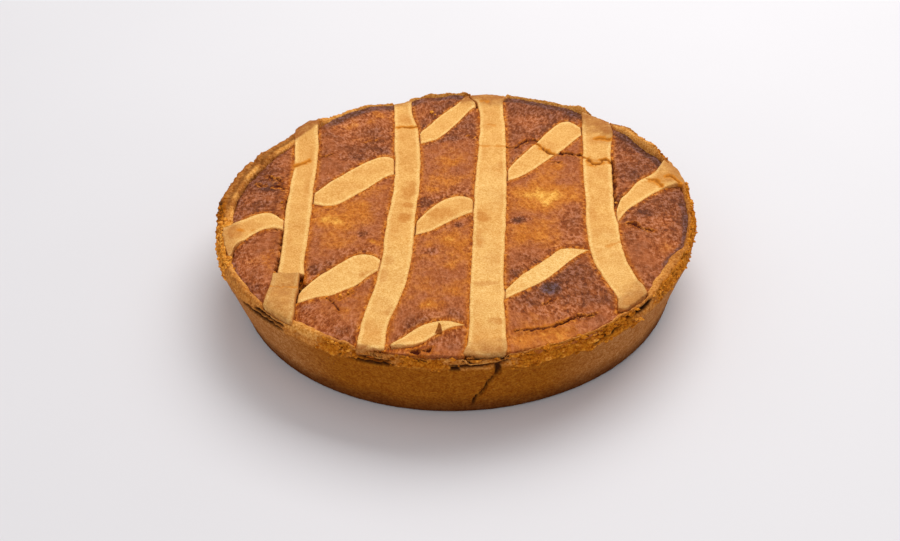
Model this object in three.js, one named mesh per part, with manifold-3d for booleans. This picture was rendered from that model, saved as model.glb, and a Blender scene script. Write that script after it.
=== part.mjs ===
// A pastiera: a round tart baked in a flared tin. It has a shortcrust shell, a set filling and
// seven strips of pastry: four long strips lie over three slanting cross strips.
// Lengths are in millimetres and angles in degrees. +Z is up, and the origin is the middle of
// the flat base. The near side of the tart is towards -Y.

import * as THREE from "three";
import { ImprovedNoise } from "three/addons/math/ImprovedNoise.js";
import { mergeVertices } from "three/addons/utils/BufferGeometryUtils.js";
import Module from "manifold-3d";

const { clamp, degToRad, lerp, radToDeg, smoothstep } = THREE.MathUtils;

// Shell
const rimRadius = 115;
const rimHeight = 38.3;
const baseRadius = 104.5;
const baseThickness = 5;
const wallThickness = 6;
const footRounding = 2.5;
const shoulderDrop = 6;

// Filling
const fillingBelowRim = 1.6;
const fillingDome = 0.8;
const fillingPuff = 0.7;
const puffReach = 9;

// Strips
const stripThickness = 3.2;
const stripProud = 0.5;
const stripOverRim = 0.6;
const stripEdgeRound = 0.9;
const stripEndDroop = 1.4;
const crossingHump = 1.2;
const crossingReach = 10;
const crossDipReach = 4;
const crossTail = 7;
const leafUpperRound = 8;
const leafLowerRound = 11;
const leafLeast = 0.3;

// Clearances
const pieceGap = 0.3;
const bedHeadroom = 8;
const bedRun = 6;
const stripSetBack = 3;

// Crumbled pastry
const cragSize = 0.9;
const cragSpacing = 5;
const chipDepth = 2.4;

// Fineness of the meshes
const shellSegments = 132;
const fillingSegments = 48;
const fillingRings = 7;
const longSteps = 16;
const lapSteps = 5;
const leafSteps = 7;
const acrossSteps = 4;

// Stretches where the rim stands higher or lower: middle angle, half width of the angle, rise
const rimSwells = [
  { at: 16, reach: 12, rise: 0.8 },
  { at: 34, reach: 9, rise: 1.2 },
  { at: 108, reach: 16, rise: -1.6 },
  { at: 134, reach: 9, rise: 1.2 },
  { at: 158, reach: 20, rise: -1.8 },
];

// Stretches where the outer corner of the rim has crumbled away
const rimChips = [
  { at: 2, reach: 16 },
  { at: 192, reach: 12 },
  { at: 262, reach: 22 },
  { at: 303, reach: 24 },
];

// Long strips from the far rim to the near one: x, y and width along the middle
const longStrips = [
  [[-79, 86, 12], [-76.8, 45, 12.5], [-75.8, 0, 12.5], [-74.6, -40, 12], [-76.5, -87, 12]],
  [[-27, 113, 10.5], [-25.4, 80, 12.2], [-23.5, 42, 13.6], [-26, 0, 13.6], [-28.4, -45, 14], [-38, -104, 13]],
  [[21, 114, 16.5], [21, 90, 14], [19.3, 45, 15.5], [17, 0, 16], [13.5, -60, 15], [11, -109, 18]],
  [[77.5, 88, 14], [75.5, 70, 14.5], [71, 20, 14], [69, -25, 15.5], [71, -50, 15.5], [75.5, -82, 14]],
];

// The browned end of the first long strip, lapped over it at the near side
const lapPoints = [[-76.3, -50, 13], [-76.4, -66, 13.4], [-76.5, -87, 12.4]];
const lapRise = 1.4;

// Cross strips. Each leaf is a stretch that shows: where it starts and ends, and its width
const crossStrips = [
  [
    { from: [-114, -18], to: [-80, -3], width: 14 },
    { from: [-71, 8], to: [-29, 49], width: 17.3 },
    { from: [-19, 68], to: [11, 114], width: 13.7 },
  ],
  [
    { from: [-71, -67], to: [-33.5, -42], width: 17 },
    { from: [-20.5, -16], to: [11, 5], width: 15.3 },
    { from: [26, 31.5], to: [68.5, 77], width: 15 },
  ],
  [
    { from: [-34, -104.5], to: [5.5, -85.5], width: 8 },
    { from: [20, -68], to: [62.5, -36], width: 12 },
    { from: [77, -7], to: [112, 31], width: 13 },
  ],
];

// The crack down the near side of the wall: angle and height of each bend
const crackBends = [[-81, 37], [-82, 33], [-81.8, 28], [-83.8, 22], [-84.7, 16], [-86.5, 10], [-87.3, 3]];
const crackWidth = 1.3;
const crackDepth = 2.4;

const wasm = await Module();
wasm.setup();
const roughness = new ImprovedNoise();

// Even roughness between about -1 and 1, with bumps of the given size
function bumps(x, y, z, size) {
  return roughness.noise(x / size + 31.7, y / size + 17.3, z / size + 5.1);
}

function solidOf(geometry) {
  geometry.deleteAttribute("normal");
  geometry.deleteAttribute("uv");
  const welded = mergeVertices(geometry, 1e-4);
  const mesh = new wasm.Mesh({
    numProp: 3,
    vertProperties: new Float32Array(welded.attributes.position.array),
    triVerts: new Uint32Array(welded.index.array),
  });
  return new wasm.Manifold(mesh);
}

function geometryOf(solid) {
  const mesh = solid.getMesh();
  const geometry = new THREE.BufferGeometry();
  geometry.setAttribute("position", new THREE.BufferAttribute(mesh.vertProperties, 3));
  geometry.setIndex(new THREE.BufferAttribute(mesh.triVerts, 1));
  geometry.computeVertexNormals();
  return geometry;
}

// The largest body of a solid, without the scraps that a cut leaves
function mainBody(solid) {
  const bodies = solid.decompose();
  return bodies.reduce((best, body) => (body.volume() > best.volume() ? body : best));
}

// A share of 1 in the middle of a stretch of the rim, falling smoothly to 0 at its ends
function stretchShare(stretch, angle) {
  const turn = Math.abs(((angle - stretch.at + 540) % 360) - 180);
  return 0.5 + 0.5 * Math.cos(Math.PI * clamp(turn / stretch.reach, 0, 1));
}

function rimCrest(angle) {
  return rimSwells.reduce((height, swell) => height + swell.rise * stretchShare(swell, angle), rimHeight);
}

function rimChip(angle) {
  return Math.max(...rimChips.map((chip) => stretchShare(chip, angle)));
}

function angleOf(x, y) {
  return (radToDeg(Math.atan2(y, x)) + 360) % 360;
}

// Outside of the wall below the rim
function wallRadius(height) {
  const share = height / (rimHeight - shoulderDrop);
  return lerp(baseRadius, rimRadius, share);
}

// The surface of the filling, without its puffing
function fillingLevel(x, y) {
  const share = Math.hypot(x, y) / rimRadius;
  return rimHeight - fillingBelowRim + fillingDome * (1 - share * share);
}

// Places along a curve, each with its heading and the half width to its left and right
function longStations(points, steps) {
  const curve = new THREE.CatmullRomCurve3(points.map((point) => new THREE.Vector3(...point)));
  return curve.getPoints(steps).map(({ x, y, z }, step) => {
    const tangent = curve.getTangent(step / steps);
    return { x, y, heading: Math.atan2(tangent.y, tangent.x), left: z / 2, right: z / 2 };
  });
}

// How far a place is outside the edge of the nearest long strip
const longPaths = longStrips.map((points) => longStations(points, longSteps));
function longEdgeDistance(x, y) {
  const distances = longPaths.flat().map((place) => Math.hypot(x - place.x, y - place.y) - place.left);
  return Math.min(...distances);
}

function onRim([x, y]) {
  return Math.hypot(x, y) > rimRadius - 2 * wallThickness;
}

// A place on the line of a stretch, the given length from its start
function along(from, to, length) {
  const whole = Math.hypot(to[0] - from[0], to[1] - from[1]);
  return [lerp(from[0], to[0], length / whole), lerp(from[1], to[1], length / whole)];
}

// The share of a leaf's half width near a rounded corner, as a quarter of an ellipse
function cornerShare(distance, rounding) {
  const left = 1 - clamp(distance / rounding, 0, 1);
  return Math.max(Math.sqrt(1 - left * left), leafLeast);
}

// A leaf's upper edge is rounded off at its far end and its lower edge at its near end,
// except on the rim. Places lie closer together towards the ends
function leafStations({ from, to, width }) {
  const length = Math.hypot(to[0] - from[0], to[1] - from[1]);
  const stations = [];
  for (let step = 0; step <= leafSteps; step++) {
    const share = 0.5 - 0.5 * Math.cos((Math.PI * step) / leafSteps);
    const upper = onRim(to) ? 1 : cornerShare((1 - share) * length, leafUpperRound);
    const lower = onRim(from) ? 1 : cornerShare(share * length, leafLowerRound);
    stations.push({
      x: lerp(from[0], to[0], share),
      y: lerp(from[1], to[1], share),
      heading: Math.atan2(to[1] - from[1], to[0] - from[0]),
      left: (width / 2) * upper,
      right: (width / 2) * lower,
    });
  }
  return stations;
}

// An end that is not on the rim runs on a little, under the long strip that covers it
function crossStations(leaves) {
  const stations = leaves.flatMap(leafStations);
  const first = leaves[0];
  const last = leaves.at(-1);
  if (!onRim(first.from)) {
    const [x, y] = along(first.from, first.to, -crossTail);
    stations.unshift({ ...stations[0], x, y });
  }
  if (!onRim(last.to)) {
    const [x, y] = along(last.to, last.from, -crossTail);
    stations.push({ ...stations.at(-1), x, y });
  }
  return stations;
}

// Where a cross strip passes under a long one
const crossPaths = crossStrips.map(crossStations);
const crossings = crossStrips.flatMap((leaves) =>
  leaves.slice(1).map((leaf, index) => {
    const before = leaves[index].to;
    return [(before[0] + leaf.from[0]) / 2, (before[1] + leaf.from[1]) / 2];
  }),
);

// Top of a strip that lies free, bending from the filling up over the rim
function freeTop(x, y) {
  const radius = Math.hypot(x, y);
  const onFilling = fillingLevel(x, y) + stripProud;
  const overRim = rimCrest(angleOf(x, y)) + stripOverRim;
  const rise = smoothstep(radius, rimRadius - 16, rimRadius - 7);
  const droop = stripEndDroop * smoothstep(radius, rimRadius - 5, rimRadius);
  return lerp(onFilling, overRim, rise) - droop;
}

function longTop(x, y) {
  const humps = crossings.map(([cx, cy]) => Math.exp(-((Math.hypot(x - cx, y - cy) / crossingReach) ** 2)));
  return freeTop(x, y) + crossingHump * Math.max(...humps);
}

function lapTop(x, y) {
  return longTop(x, y) + lapRise;
}

function crossTop(x, y) {
  const underLong = longTop(x, y) - stripThickness - 2 * pieceGap;
  const free = smoothstep(longEdgeDistance(x, y), 0.5, crossDipReach);
  return lerp(underLong, freeTop(x, y), free);
}

// The places of a strip's bed: one more at each end, past the rim's outside or a gap away
function bedStations(path) {
  const ends = [
    [path[1], path[0]],
    [path.at(-2), path.at(-1)],
  ];
  const [first, last] = ends.map(([inner, outer]) => {
    const run = Math.hypot(outer.x, outer.y) > rimRadius - stripSetBack ? bedRun : pieceGap;
    const [x, y] = along([outer.x, outer.y], [inner.x, inner.y], -run);
    return { ...outer, x, y };
  });
  return [first, ...path, last];
}

// A place to the right of a station, seen along its heading
function beside({ x, y, heading }, offset) {
  return [x + offset * Math.sin(heading), y - offset * Math.cos(heading)];
}

// A strip as a box bent along its places, or the bed that it lies in: wider by the gap, deeper
// by twice the gap, longer at both ends, and open at the top
function stripSolid(path, topAt, isBed = false) {
  const stations = isBed ? bedStations(path) : path;
  const clearance = isBed ? pieceGap : 0;
  const steps = stations.length - 1;
  const geometry = new THREE.BoxGeometry(1, 1, 1, acrossSteps, steps, 1);
  const position = geometry.attributes.position;
  for (let index = 0; index < position.count; index++) {
    const across = 2 * position.getX(index);
    const station = stations[Math.round((position.getY(index) + 0.5) * steps)];
    const spread = Math.sign(across) * Math.sqrt(Math.abs(across));
    const half = across > 0 ? station.right : station.left;
    const [x, y] = beside(station, spread * half);
    const top = topAt(x, y);
    const roundedTop = isBed ? top + bedHeadroom : top - stripEdgeRound * across ** 4;
    const bottom = top - stripThickness - 2 * clearance;
    const [wideX, wideY] = beside(station, spread * (half + clearance));
    position.setXYZ(index, wideX, wideY, position.getZ(index) > 0 ? roundedTop : bottom);
  }
  return solidOf(geometry);
}

// The room inside the outline of the tin, which trims the ends of the strips
function tinSolid() {
  const trim = rimRadius - 0.5;
  const profile = [
    { r: 0, z: 0 },
    { r: trim, z: 0 },
    { r: trim, z: 2 * rimHeight },
    { r: 0, z: 2 * rimHeight },
  ];
  return turnedSolid(profile, shellSegments, (place) => place);
}

// A ring profile turned about the axis, with each point moved by its own relief
function turnedSolid(profile, segments, relief) {
  const points = profile.map(({ r, z }) => new THREE.Vector2(r, z));
  const geometry = new THREE.LatheGeometry(points, segments);
  geometry.rotateX(Math.PI / 2);
  const position = geometry.attributes.position;
  for (let index = 0; index < position.count; index++) {
    const place = new THREE.Vector3().fromBufferAttribute(position, index);
    const moved = relief(place, profile[index % profile.length]);
    position.setXYZ(index, moved.x, moved.y, moved.z);
  }
  return solidOf(geometry);
}

// The shell's section, from the middle of the base round the outside to the middle of the floor.
// A point on the rim follows the rim's rise and fall, and a crag point crumbles
function shellProfile() {
  const footRadius = wallRadius(footRounding) - footRounding;
  const inside = rimRadius - wallThickness;
  const profile = [{ r: 0, z: 0 }];
  for (const turn of [0, 30, 60, 90]) {
    const angle = degToRad(turn);
    const r = footRadius + footRounding * Math.sin(angle);
    profile.push({ r, z: footRounding * (1 - Math.cos(angle)) });
  }
  for (const height of [15, 24]) {
    profile.push({ r: wallRadius(height), z: height });
  }
  profile.push({ r: rimRadius, z: rimHeight - shoulderDrop, crag: 0.4 });
  profile.push({ r: rimRadius - 0.2, z: rimHeight - 3, rim: 0.6, crag: 1 });
  profile.push({ r: rimRadius - 1.6, z: rimHeight - 0.8, rim: 1, crag: 1 });
  profile.push({ r: rimRadius - 3.2, z: rimHeight, rim: 1, crag: 0.7 });
  profile.push({ r: inside + 0.7, z: rimHeight - 0.4, rim: 1, crag: 0.3 });
  profile.push({ r: inside - 0.5, z: rimHeight - fillingBelowRim, rim: 0.4 });
  profile.push({ r: inside - 0.8, z: rimHeight - shoulderDrop });
  profile.push({ r: wallRadius(12) - wallThickness, z: 12 });
  profile.push({ r: wallRadius(7) - wallThickness - 2, z: baseThickness + 1 });
  profile.push({ r: wallRadius(7) - wallThickness - 6, z: baseThickness });
  profile.push({ r: 0, z: baseThickness });
  return profile;
}

function shellRelief({ x, y, z }, { rim = 0, crag = 0 }) {
  const angle = angleOf(x, y);
  const radius = Math.hypot(x, y);
  const chip = rimChip(angle) * chipDepth * (1 + bumps(x, y, z, 2 * cragSpacing));
  const outward = crag * (cragSize * bumps(x, y, z, cragSpacing) - chip);
  const upward = rim * (rimCrest(angle) - rimHeight);
  const lift = crag * (cragSize * bumps(y, z, x, cragSpacing) - 0.6 * chip);
  const share = radius > 0 ? (radius + outward) / radius : 0;
  return new THREE.Vector3(x * share, y * share, z + upward + lift);
}

// The filling fits the inside of the shell, with rings over its top
function fillingProfile() {
  const inner = shellProfile().slice(-6);
  const profile = inner.reverse().map(({ r, z }) => ({ r: Math.max(r - pieceGap, 0), z: z + pieceGap }));
  const edge = profile.at(-1);
  edge.z = rimHeight - fillingBelowRim - pieceGap;
  for (let ring = fillingRings - 1; ring >= 0; ring--) {
    profile.push({ r: (edge.r * ring) / fillingRings, z: edge.z, top: 1 });
  }
  return profile;
}

function fillingRelief({ x, y, z }, { top = 0 }) {
  if (!top) {
    return new THREE.Vector3(x, y, z);
  }
  const puff = fillingPuff * (smoothstep(longEdgeDistance(x, y), 0, puffReach) + 0.5 * bumps(x, y, 0, 14));
  const edge = smoothstep(rimRadius - wallThickness - Math.hypot(x, y), 0, puffReach);
  return new THREE.Vector3(x, y, fillingLevel(x, y) - pieceGap + puff * edge);
}

// A thin zigzag wedge down the wall
function crackSolid() {
  const steps = crackBends.length - 1;
  const geometry = new THREE.BoxGeometry(1, 1, 1, 1, steps, 1);
  const position = geometry.attributes.position;
  for (let index = 0; index < position.count; index++) {
    const share = position.getY(index) + 0.5;
    const [bend, height] = crackBends[Math.round(share * steps)];
    const surface = wallRadius(Math.min(height, rimHeight - shoulderDrop));
    const taper = share === 1 ? 0.4 : 1;
    const angle = degToRad(bend) - (2 * position.getX(index) * taper * crackWidth) / 2 / surface;
    const radius = position.getZ(index) > 0 ? surface + 4 : surface - crackDepth * taper;
    position.setXYZ(index, radius * Math.cos(angle), radius * Math.sin(angle), height);
  }
  return solidOf(geometry);
}

function union(solids) {
  return solids.reduce((joined, solid) => joined.add(solid));
}

function addPiece(name, solid, material) {
  const mesh = new THREE.Mesh(geometryOf(solid), new THREE.MeshStandardMaterial(material));
  mesh.name = name;
  pastiera.add(mesh);
}

const lapPath = longStations(lapPoints, lapSteps);
const lap = stripSolid(lapPath, lapTop);
const longBeds = union([
  ...longPaths.map((path) => stripSolid(path, longTop, true)),
  stripSolid(lapPath, lapTop, true),
]);
const crossBeds = union(crossPaths.map((path) => stripSolid(path, crossTop, true)));
const beds = longBeds.add(crossBeds);

const shell = turnedSolid(shellProfile(), shellSegments, shellRelief);
const filling = turnedSolid(fillingProfile(), fillingSegments, fillingRelief);

const tin = tinSolid();

const pastiera = new THREE.Group();
const crustMaterial = { color: 0xb27338, roughness: 0.8, metalness: 0 };
const fillingMaterial = { color: 0xa66036, roughness: 0.6, metalness: 0 };
const stripMaterial = { color: 0xecb46a, roughness: 0.8, metalness: 0 };

addPiece("crust", mainBody(shell.subtract(beds).subtract(crackSolid())), crustMaterial);
addPiece("filling", mainBody(filling.subtract(beds)), fillingMaterial);
longPaths.forEach((path, index) => {
  const strip = stripSolid(path, longTop);
  const whole = index === 0 ? strip.add(lap) : strip;
  addPiece(`long_strip_${index + 1}`, whole.intersect(tin), stripMaterial);
});
crossPaths.forEach((path, index) => {
  const strip = stripSolid(path, crossTop).subtract(longBeds);
  addPiece(`cross_strip_${index + 1}`, mainBody(strip.intersect(tin)), stripMaterial);
});

export default pastiera;
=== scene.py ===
import math

import bmesh
import bpy
import numpy as np
from bpy.props import FloatProperty, FloatVectorProperty, PointerProperty
from bpy.types import Operator, Panel, PropertyGroup
from mathutils import Matrix, Vector, kdtree, noise


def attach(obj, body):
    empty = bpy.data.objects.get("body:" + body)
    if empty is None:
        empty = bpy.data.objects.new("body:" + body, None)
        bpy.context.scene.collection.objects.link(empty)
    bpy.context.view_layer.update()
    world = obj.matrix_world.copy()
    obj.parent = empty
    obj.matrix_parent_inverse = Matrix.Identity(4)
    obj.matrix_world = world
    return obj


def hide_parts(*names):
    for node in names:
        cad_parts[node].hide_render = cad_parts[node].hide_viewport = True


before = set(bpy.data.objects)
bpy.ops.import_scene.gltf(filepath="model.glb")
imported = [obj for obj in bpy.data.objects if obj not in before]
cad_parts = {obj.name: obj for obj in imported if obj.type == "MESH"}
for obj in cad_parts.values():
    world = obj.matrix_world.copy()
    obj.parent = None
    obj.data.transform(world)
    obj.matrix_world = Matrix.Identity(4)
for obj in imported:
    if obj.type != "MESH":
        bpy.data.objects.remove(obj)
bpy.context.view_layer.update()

bl_info = {
    "name": "Pastiera",
    "version": (1, 0, 0),
    "blender": (4, 5, 0),
    "location": "3D View > Sidebar > Pastiera",
    "description": "A round tart with a lattice of pastry strips over a wheat and ricotta filling",
    "category": "Object",
}

# All sizes below are in millimetres and all angles in degrees
MM = 0.001
# Steps of the crust around the tart and cuts in each step
CRUST_STEPS, CRUST_CUTS = 330, 3
# Cells along each side of the filling's grid, its distance from the rim and its taper below
FILLING_CELLS, FILLING_INSET, FILLING_TAPER = 300, 2, 0.92
# Cells across a cross strip and a long strip, their length, and how they crowd at the edges
CROSS_CELLS, LONG_CELLS, STRIP_CELL, CROWDING = 30, 32, 0.55, 0.92
# Lumps in the broken rim
CRUMB_COUNT = 1024
# Most that a mark may reach, where that isn't one
MARK_MOST = {"toast": 1.6}
# Height of the rim above the wall's end, and radius beyond which the wall is out of round
SHOULDER, WALL_FROM = 6, 60
# Share of the rim's section where its roughness starts, below the shoulder
RIM_FROM = -0.22
# Distance in front of the middle where the first long strip's lap starts and is full
LAP_EDGE = 51.6, 52.6
# Where the single flake stands and how tall it is
FLAKE_FOOT, FLAKE_TALL = (-8.2, -96), 5
# Lengths this close count as the same, and edges shorter than this aren't cut
SAME, SHORT = 0.001, 0.01
# A distance beyond everything
BEYOND = 1e9
# Half the floor's width and the depth of a light in metres
FLOOR_HALF, LIGHT_DEEP = 6.0, 0.9
# Middle line of each long strip as x, y and width, from the far rim to the near rim
LONG_STRIPS = {
    "long_strip_1": [
        (-77.9, 87, 12), (-77.2, 72, 12.7), (-76.3, 60, 12.8), (-75.6, 50, 12.3), (-75.4, 40, 12.1),
        (-75.5, 20, 12.2), (-75.2, 0, 12.6), (-74.75, -20, 12.1), (-74.5, -40, 11.4),
        (-74.4, -47, 11.8), (-74, -52, 12.2), (-73.9, -57, 12.1), (-74.8, -61.5, 12.1),
        (-76.2, -66, 12.5), (-76.6, -70, 13.1), (-77.2, -80, 14.4), (-77, -89, 14),
    ],
    "long_strip_2": [
        (-27.4, 113, 10.2), (-27, 104, 10), (-26.1, 91, 10.6), (-24.8, 80, 12.4), (-23.9, 60, 13.4),
        (-23.15, 40, 13.3), (-23.45, 20, 12.9), (-24.9, 0, 13.2), (-26, -20, 14),
        (-26.75, -39, 13.5), (-28, -52, 13.9), (-30.35, -67, 13.3), (-33.4, -80, 12.5),
        (-35.3, -90, 11.8), (-36, -100, 11.9), (-36.6, -107, 12.4),
    ],
    "long_strip_3": [
        (20.6, 114, 21), (20.6, 108, 19.7), (20.7, 104, 15.2), (21.1, 97, 13.6), (21.3, 80, 13.6),
        (20.45, 60, 14.5), (19.35, 40, 15.3), (18.2, 20, 16), (17.15, 0, 15.9), (15.95, -20, 15.5),
        (14.85, -37, 15.1), (13.5, -61, 15), (12.9, -75, 15.2), (12.5, -92, 15.8),
        (12.05, -100, 16.3), (11.45, -108, 17.1), (10.8, -113, 18.5),
    ],
    "long_strip_4": [
        (76.5, 86, 14), (76.2, 79, 14.4), (75.8, 72, 15.4), (75.55, 65, 15.5), (74.4, 55, 15),
        (73.35, 45, 14.5), (72.4, 36, 14.6), (71.1, 17, 14.2), (69.8, 0, 13.8), (69.2, -10, 14.2),
        (69, -20, 15), (68.7, -36, 15), (69, -43, 15.2), (69.9, -50, 15), (71.55, -57, 14.5),
        (73.75, -65, 13.7), (75.6, -72, 13.6), (76.1, -78, 13.8), (75.5, -85, 14.5),
    ],
}
# Upper and lower edge of each cross strip as x and y, from left to right
CROSS_UPPER = {
    "cross_strip_1": [
        (-116, -15), (-107.2, -12.2), (-103.5, -7.9), (-100.2, -4.7), (-97, -2), (-93.7, -0.4),
        (-90.7, 0), (-88.2, -0.7), (-85.6, -2.7), (-83.4, -5.4), (-68.7, 16.3), (-66.6, 19.3),
        (-63.9, 23.2), (-61.6, 26.4), (-59.3, 29.1), (-56.9, 31.6), (-53.3, 35.8), (-49.8, 39.5),
        (-46.1, 43.4), (-43, 45.8), (-39.9, 47.9), (-37.4, 49.3), (-34.8, 49.7), (-32.2, 48.7),
        (-30.8, 47.4), (-17.6, 72.2), (-16.3, 75.4), (-13.7, 79.4), (-11, 84), (-8.3, 88.8),
        (-4.9, 93.5), (-1.4, 97.6), (1.4, 100.7), (3.5, 103.6), (5.3, 107), (6.7, 109.3), (13, 117),
    ],
    "cross_strip_2": [
        (-75, -70), (-67.5, -62), (-64, -56.6), (-61, -52.5), (-57.8, -49.4), (-55.2, -46.6),
        (-52.5, -43.9), (-49.8, -41.3), (-47, -38.9), (-44.3, -37.6), (-41.5, -37.4), (-39.2, -38),
        (-36.9, -39.4), (-34.7, -41.6), (-18.2, -11.9), (-16.5, -8.8), (-14.1, -4.6), (-11.7, -0.9),
        (-9.3, 2.2), (-6.9, 5), (-4.4, 7.1), (-2, 8.5), (0.5, 9.4), (2.9, 9.7), (5.4, 9),
        (7.8, 7.3), (9.4, 5.1), (27.4, 33.3), (29.7, 38), (32.1, 42.4), (34.6, 46.3), (37.8, 51.1),
        (40.9, 56.3), (43.5, 59.4), (45.2, 62.6), (48, 67.5), (51.5, 72.8), (54.7, 76.9),
        (57.8, 79.5), (60.9, 80), (63.7, 78), (66, 75.5), (68, 73), (74, 76),
    ],
    "cross_strip_3": [
        (-32, -107.5), (-29.6, -105.8), (-26.8, -102.8), (-23.2, -98.8), (-20.1, -94.9), (-17, -92),
        (-13.8, -89.8), (-10.7, -88.4), (-8, -87.8), (-5.4, -87.8), (-2.7, -88.3), (0.1, -89.6),
        (3, -90.8), (5, -91.5), (21.7, -66.8), (24.6, -62.7), (27.5, -58.8), (29.6, -56),
        (33, -52.9), (36.6, -49.3), (39.7, -46), (42.9, -42.7), (45.2, -39.9), (47.2, -37.8),
        (50.1, -36.9), (53, -37), (55.9, -37.5), (58.7, -38.1), (61.5, -38.4), (79.2, 0.1),
        (80.6, 3.9), (83.9, 8.4), (86.6, 12.8), (89.6, 17.3), (92.6, 20.7), (95.4, 22.6),
        (98.3, 24.8), (101.4, 27.9), (103.2, 31), (104.9, 34.4), (106, 37.2), (110, 46), (116, 56),
    ],
}
CROSS_LOWER = {
    "cross_strip_1": [
        (-116, -42), (-103, -37), (-102.5, -31.5), (-101.3, -27), (-99.2, -24.3), (-96.7, -20.5),
        (-93.5, -17), (-90.8, -15), (-87.9, -13.9), (-85.2, -13.4), (-82.6, -14.4), (-68.2, 5.9),
        (-65.7, 4.8), (-61.5, 3.8), (-59.1, 4.1), (-56.6, 5.1), (-54.2, 6.7), (-51.9, 9.3),
        (-49.7, 11.5), (-46.8, 14.5), (-43.8, 17.6), (-40.8, 21.1), (-37.8, 24.9), (-34.8, 28.4),
        (-32.4, 30.3), (-30.5, 31.2), (-16.9, 61.5), (-14.2, 62.7), (-11.6, 64.1), (-9, 65.6),
        (-6.4, 68.5), (-3.7, 71.9), (-1, 76.6), (1.7, 81.3), (4.5, 86.4), (7.2, 91.4), (10.1, 96),
        (12.1, 98), (13.8, 99),
    ],
    "cross_strip_2": [
        (-75, -74.5), (-68.5, -72.8), (-64.6, -70.7), (-59.3, -68.8), (-55.4, -68.4),
        (-52.2, -66.6), (-49, -64.4), (-45.8, -62.5), (-43.2, -60), (-40.6, -56.7), (-38, -54),
        (-35.9, -51.8), (-18.2, -23.4), (-15.8, -22.4), (-13.5, -21.5), (-11.1, -20.3),
        (-8.8, -18.3), (-6.4, -16.3), (-4, -14.3), (-1.6, -12.3), (0.8, -10.3), (3.8, -8),
        (6.2, -6.5), (8.9, -4.9), (27.1, 22.3), (31.1, 24.6), (33.9, 26.6), (37.5, 30.1),
        (41.2, 33.7), (44.8, 38), (47.9, 41.6), (51, 45.4), (54.1, 48.7), (57.1, 52.4), (60.4, 57),
        (63.7, 61.5), (67.2, 65.3), (74, 71),
    ],
    "cross_strip_3": [
        (-32, -108.5), (-29, -107.5), (-26, -107.5), (-22, -106.5), (-17.9, -104.8),
        (-14.8, -102.9), (-12.3, -100.2), (-10.2, -98.2), (-5.5, -94.5), (-2.8, -92.9),
        (0.1, -91.9), (2.9, -91.6), (5, -91.8), (21.7, -73.7), (25.2, -71.2), (28.5, -68.9),
        (31.9, -66.4), (36.6, -63.2), (39.6, -60.7), (42.7, -57.3), (46.4, -53), (50.1, -48.6),
        (53.9, -44.7), (56.9, -41.8), (59.4, -40), (61.5, -38.8), (80, -10.3), (82.3, -6.6),
        (85, -3.5), (87.8, -1), (90.9, 1.9), (93.5, 4.4), (96.1, 7), (98.8, 9.4), (101.6, 11.4),
        (104.1, 12.7), (106.6, 13.2), (108.7, 13.9), (116, 14),
    ],
}
# Places where long and cross strips meet, as x and y
CROSSINGS = [
    (-75.5, 0), (-24, 55), (-75, -72), (-26.5, -32), (18.5, 16), (73, 74), (13, -80), (69.5, -22),
]
# Long swells and dips of the rim: angle, reach, rise
RIM_SWELLS = [(16, 12, 0.8), (34, 9, 1.2), (106, 9, -2.4), (97, 7, -0.6), (134, 9, 1.2)]
# Pieces that stand up from the rim, or are missing below zero: angle, reach, rise
RIM_LOBES = [
    (53, 6, 2.6), (131, 6, 1.4), (96, 3, 1), (26, 7, 2.6), (38, 6, 1.2), (79, 9, 0.9), (62, 5, 0.6),
    (34, 5, 1.4), (156, 14, 0.6), (154.5, 1.6, -2.4), (192, 4, 0.6), (204, 4, 0.5), (234, 3, 0.9),
    (243, 2, -0.8), (258, 2.5, 0.6), (264, 2, -0.6), (290, 4, 0.5), (300, 3, -0.6), (308, 3, 0.5),
    (348, 4, 0.6), (356, 3, -0.5),
]
# Flatter stretches of the wall, or fuller ones below zero: angle, reach, depth
WALL_DENTS = [
    (332, 18, 0.9), (346, 10, 0.9), (80, 46, -1.2), (158, 20, -1.2), (175, 7, -1.2), (16, 14, -1.4),
    (9, 8, -1),
]
# Inner edge of the rim around the tart: angle and radius
RIM_INNER = [
    (0, 110.8), (8, 111.2), (15, 111.6), (26, 110.8), (32, 109.6), (45, 109.6), (52, 111.8),
    (60, 112.8), (90, 112.8), (105, 112.6), (118, 111.8), (128, 109.4), (140, 106.2), (150, 105.2),
    (160, 105.6), (170, 106.5), (182, 106.2), (195, 107), (200, 109.6), (206, 110.4), (212, 110),
    (218, 110.8), (228, 110), (238, 109.4), (243, 109.6), (248, 112), (255, 113), (275, 113.2),
    (285, 112.2), (305, 111.6), (316, 110.4), (322, 108.6), (328, 108.2), (334, 107.8), (337, 109),
    (340, 111.6), (346, 111.4), (352, 110.6), (360, 110.8),
]
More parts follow.
